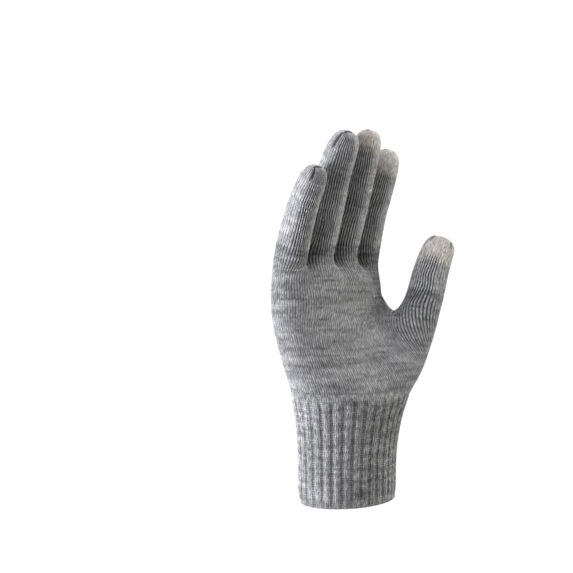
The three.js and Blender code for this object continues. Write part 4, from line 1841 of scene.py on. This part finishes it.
@dataclass
class Studio:
    """A pale floor, a white surround, soft lamps and the camera. Lengths are metres."""

    target: tuple[float, float, float] = (0.0, 0.0, 0.12)
    distance: float = 0.6
    eye_height: float = 0.137
    bearing: float = 45.0  # which way the camera stands off, in degrees
    turn: float = 3.79  # how far it looks past the glove to the left
    lens: float = 58.05
    sensor: float = 36.0
    clip: tuple[float, float] = (0.01, 20.0)
    floor_height: float = -0.5
    floor_radius: float = 0.7
    floor_sides: int = 96
    paper: tuple[float, float, float, float] = (0.85, 0.85, 0.85, 1)
    paper_roughness: float = 0.9
    ambient: float = 0.06  # strength of the surround as a light
    seen_white: float = 0.97  # how much brighter the camera sees it
    lamps: tuple[Lamp, ...] = (
        Lamp("key_lamp", -1.0, 0.32, -0.4, 21.0, (0.95, 0.96, 1.0)),
        Lamp("top_lamp", 0.1, 0.3, 1.2, 13.0, (0.97, 0.98, 1.0)),
        Lamp("right_lamp", 1.2, 0.0, 0.3, 8.8, (0.97, 1.0, 0.95)),
        Lamp("left_front_lamp", -1.0, 0.75, 0.0, 10.5, (0.9, 0.9, 1.0)),
        Lamp("right_front_lamp", 0.9, 0.9, 0.3, 4.1, (1.0, 0.96, 0.88)),
    )

    @staticmethod
    def towards(degrees: float) -> Vector:
        """The level direction with this bearing."""
        angle = math.radians(degrees)
        return Vector((math.cos(angle), math.sin(angle), 0.0))

    def build(self) -> None:
        """Makes the stage, the lights and the camera."""
        self.build_camera()
        self.build_floor()
        self.build_surround()
        for lamp in self.lamps:
            self.build_lamp(lamp)

    def build_camera(self) -> None:
        """The photograph's view: level, from the little-finger side of the palm."""
        camera = bpy.data.cameras.new("camera")
        camera.lens = self.lens
        camera.sensor_width = self.sensor
        camera.clip_start, camera.clip_end = self.clip
        placed = bpy.data.objects.new("camera", camera)
        placed.location = Vector((0, 0, self.eye_height)) - self.distance * self.towards(self.bearing)
        forward = self.towards(self.bearing + self.turn)
        placed.rotation_euler = forward.to_track_quat("-Z", "Y").to_euler()
        bpy.context.scene.collection.objects.link(placed)
        bpy.context.scene.camera = placed

    def build_floor(self) -> None:
        """A pale round floor below the glove."""
        mesh = bpy.data.meshes.new("studio_floor")
        disc = bmesh.new()
        bmesh.ops.create_circle(disc, cap_ends=True, segments=self.floor_sides, radius=self.floor_radius)
        disc.to_mesh(mesh)
        disc.free()
        floor = bpy.data.objects.new("studio_floor", mesh)
        floor.location = (0, 0, self.floor_height)
        bpy.context.scene.collection.objects.link(floor)
        paper = bpy.data.materials.new("pale_paper")
        paper.use_nodes = True
        shader = paper.node_tree.nodes["Principled BSDF"]
        shader.inputs["Base Color"].default_value = self.paper
        shader.inputs["Roughness"].default_value = self.paper_roughness
        mesh.materials.append(paper)

    def build_surround(self) -> None:
        """A surround that lights the glove softly and that the camera sees as white."""
        world = bpy.data.worlds.new("surround")
        world.use_nodes = True
        bpy.context.scene.world = world
        sheet = NodeSheet(world.node_tree)
        background = world.node_tree.nodes["Background"]
        seen = sheet.node("ShaderNodeLightPath").outputs["Is Camera Ray"]
        strength = sheet.maths("ADD", sheet.times(seen, self.seen_white), self.ambient)
        background.inputs["Color"].default_value = (1, 1, 1, 1)
        sheet.feed(background.inputs["Strength"], strength)
        bpy.context.scene.view_settings.view_transform = "Standard"

    def build_lamp(self, lamp: Lamp) -> None:
        """One soft lamp, turned to the glove.

        Args:
            lamp: its place, power and colour.
        """
        away, right = self.towards(self.bearing), self.towards(self.bearing - 90)
        light = bpy.data.lights.new(lamp.name, "AREA")
        light.size = lamp.size
        light.energy = lamp.power
        light.color = lamp.colour
        placed = bpy.data.objects.new(lamp.name, light)
        target = Vector(self.target)
        placed.location = target + right * lamp.right - away * lamp.nearer + Vector((0, 0, lamp.up))
        placed.rotation_euler = (target - placed.location).to_track_quat("-Z", "Y").to_euler()
        bpy.context.scene.collection.objects.link(placed)


def main() -> None:
    """Builds the glove and its studio in order."""
    logging.basicConfig(level=logging.INFO, format="%(name)s: %(message)s")
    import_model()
    Studio().build()
    finishes = Finishes()
    glove = Glove()
    Cuff(glove).build(finishes)
    palm = Palm(glove)
    palm.build(finishes)
    for sizes in (*glove.form.fingers, glove.form.thumb):
        StallPiece(glove, palm, sizes).build(finishes)
    bpy.context.view_layer.update()


if __name__ == "__main__":
    main()
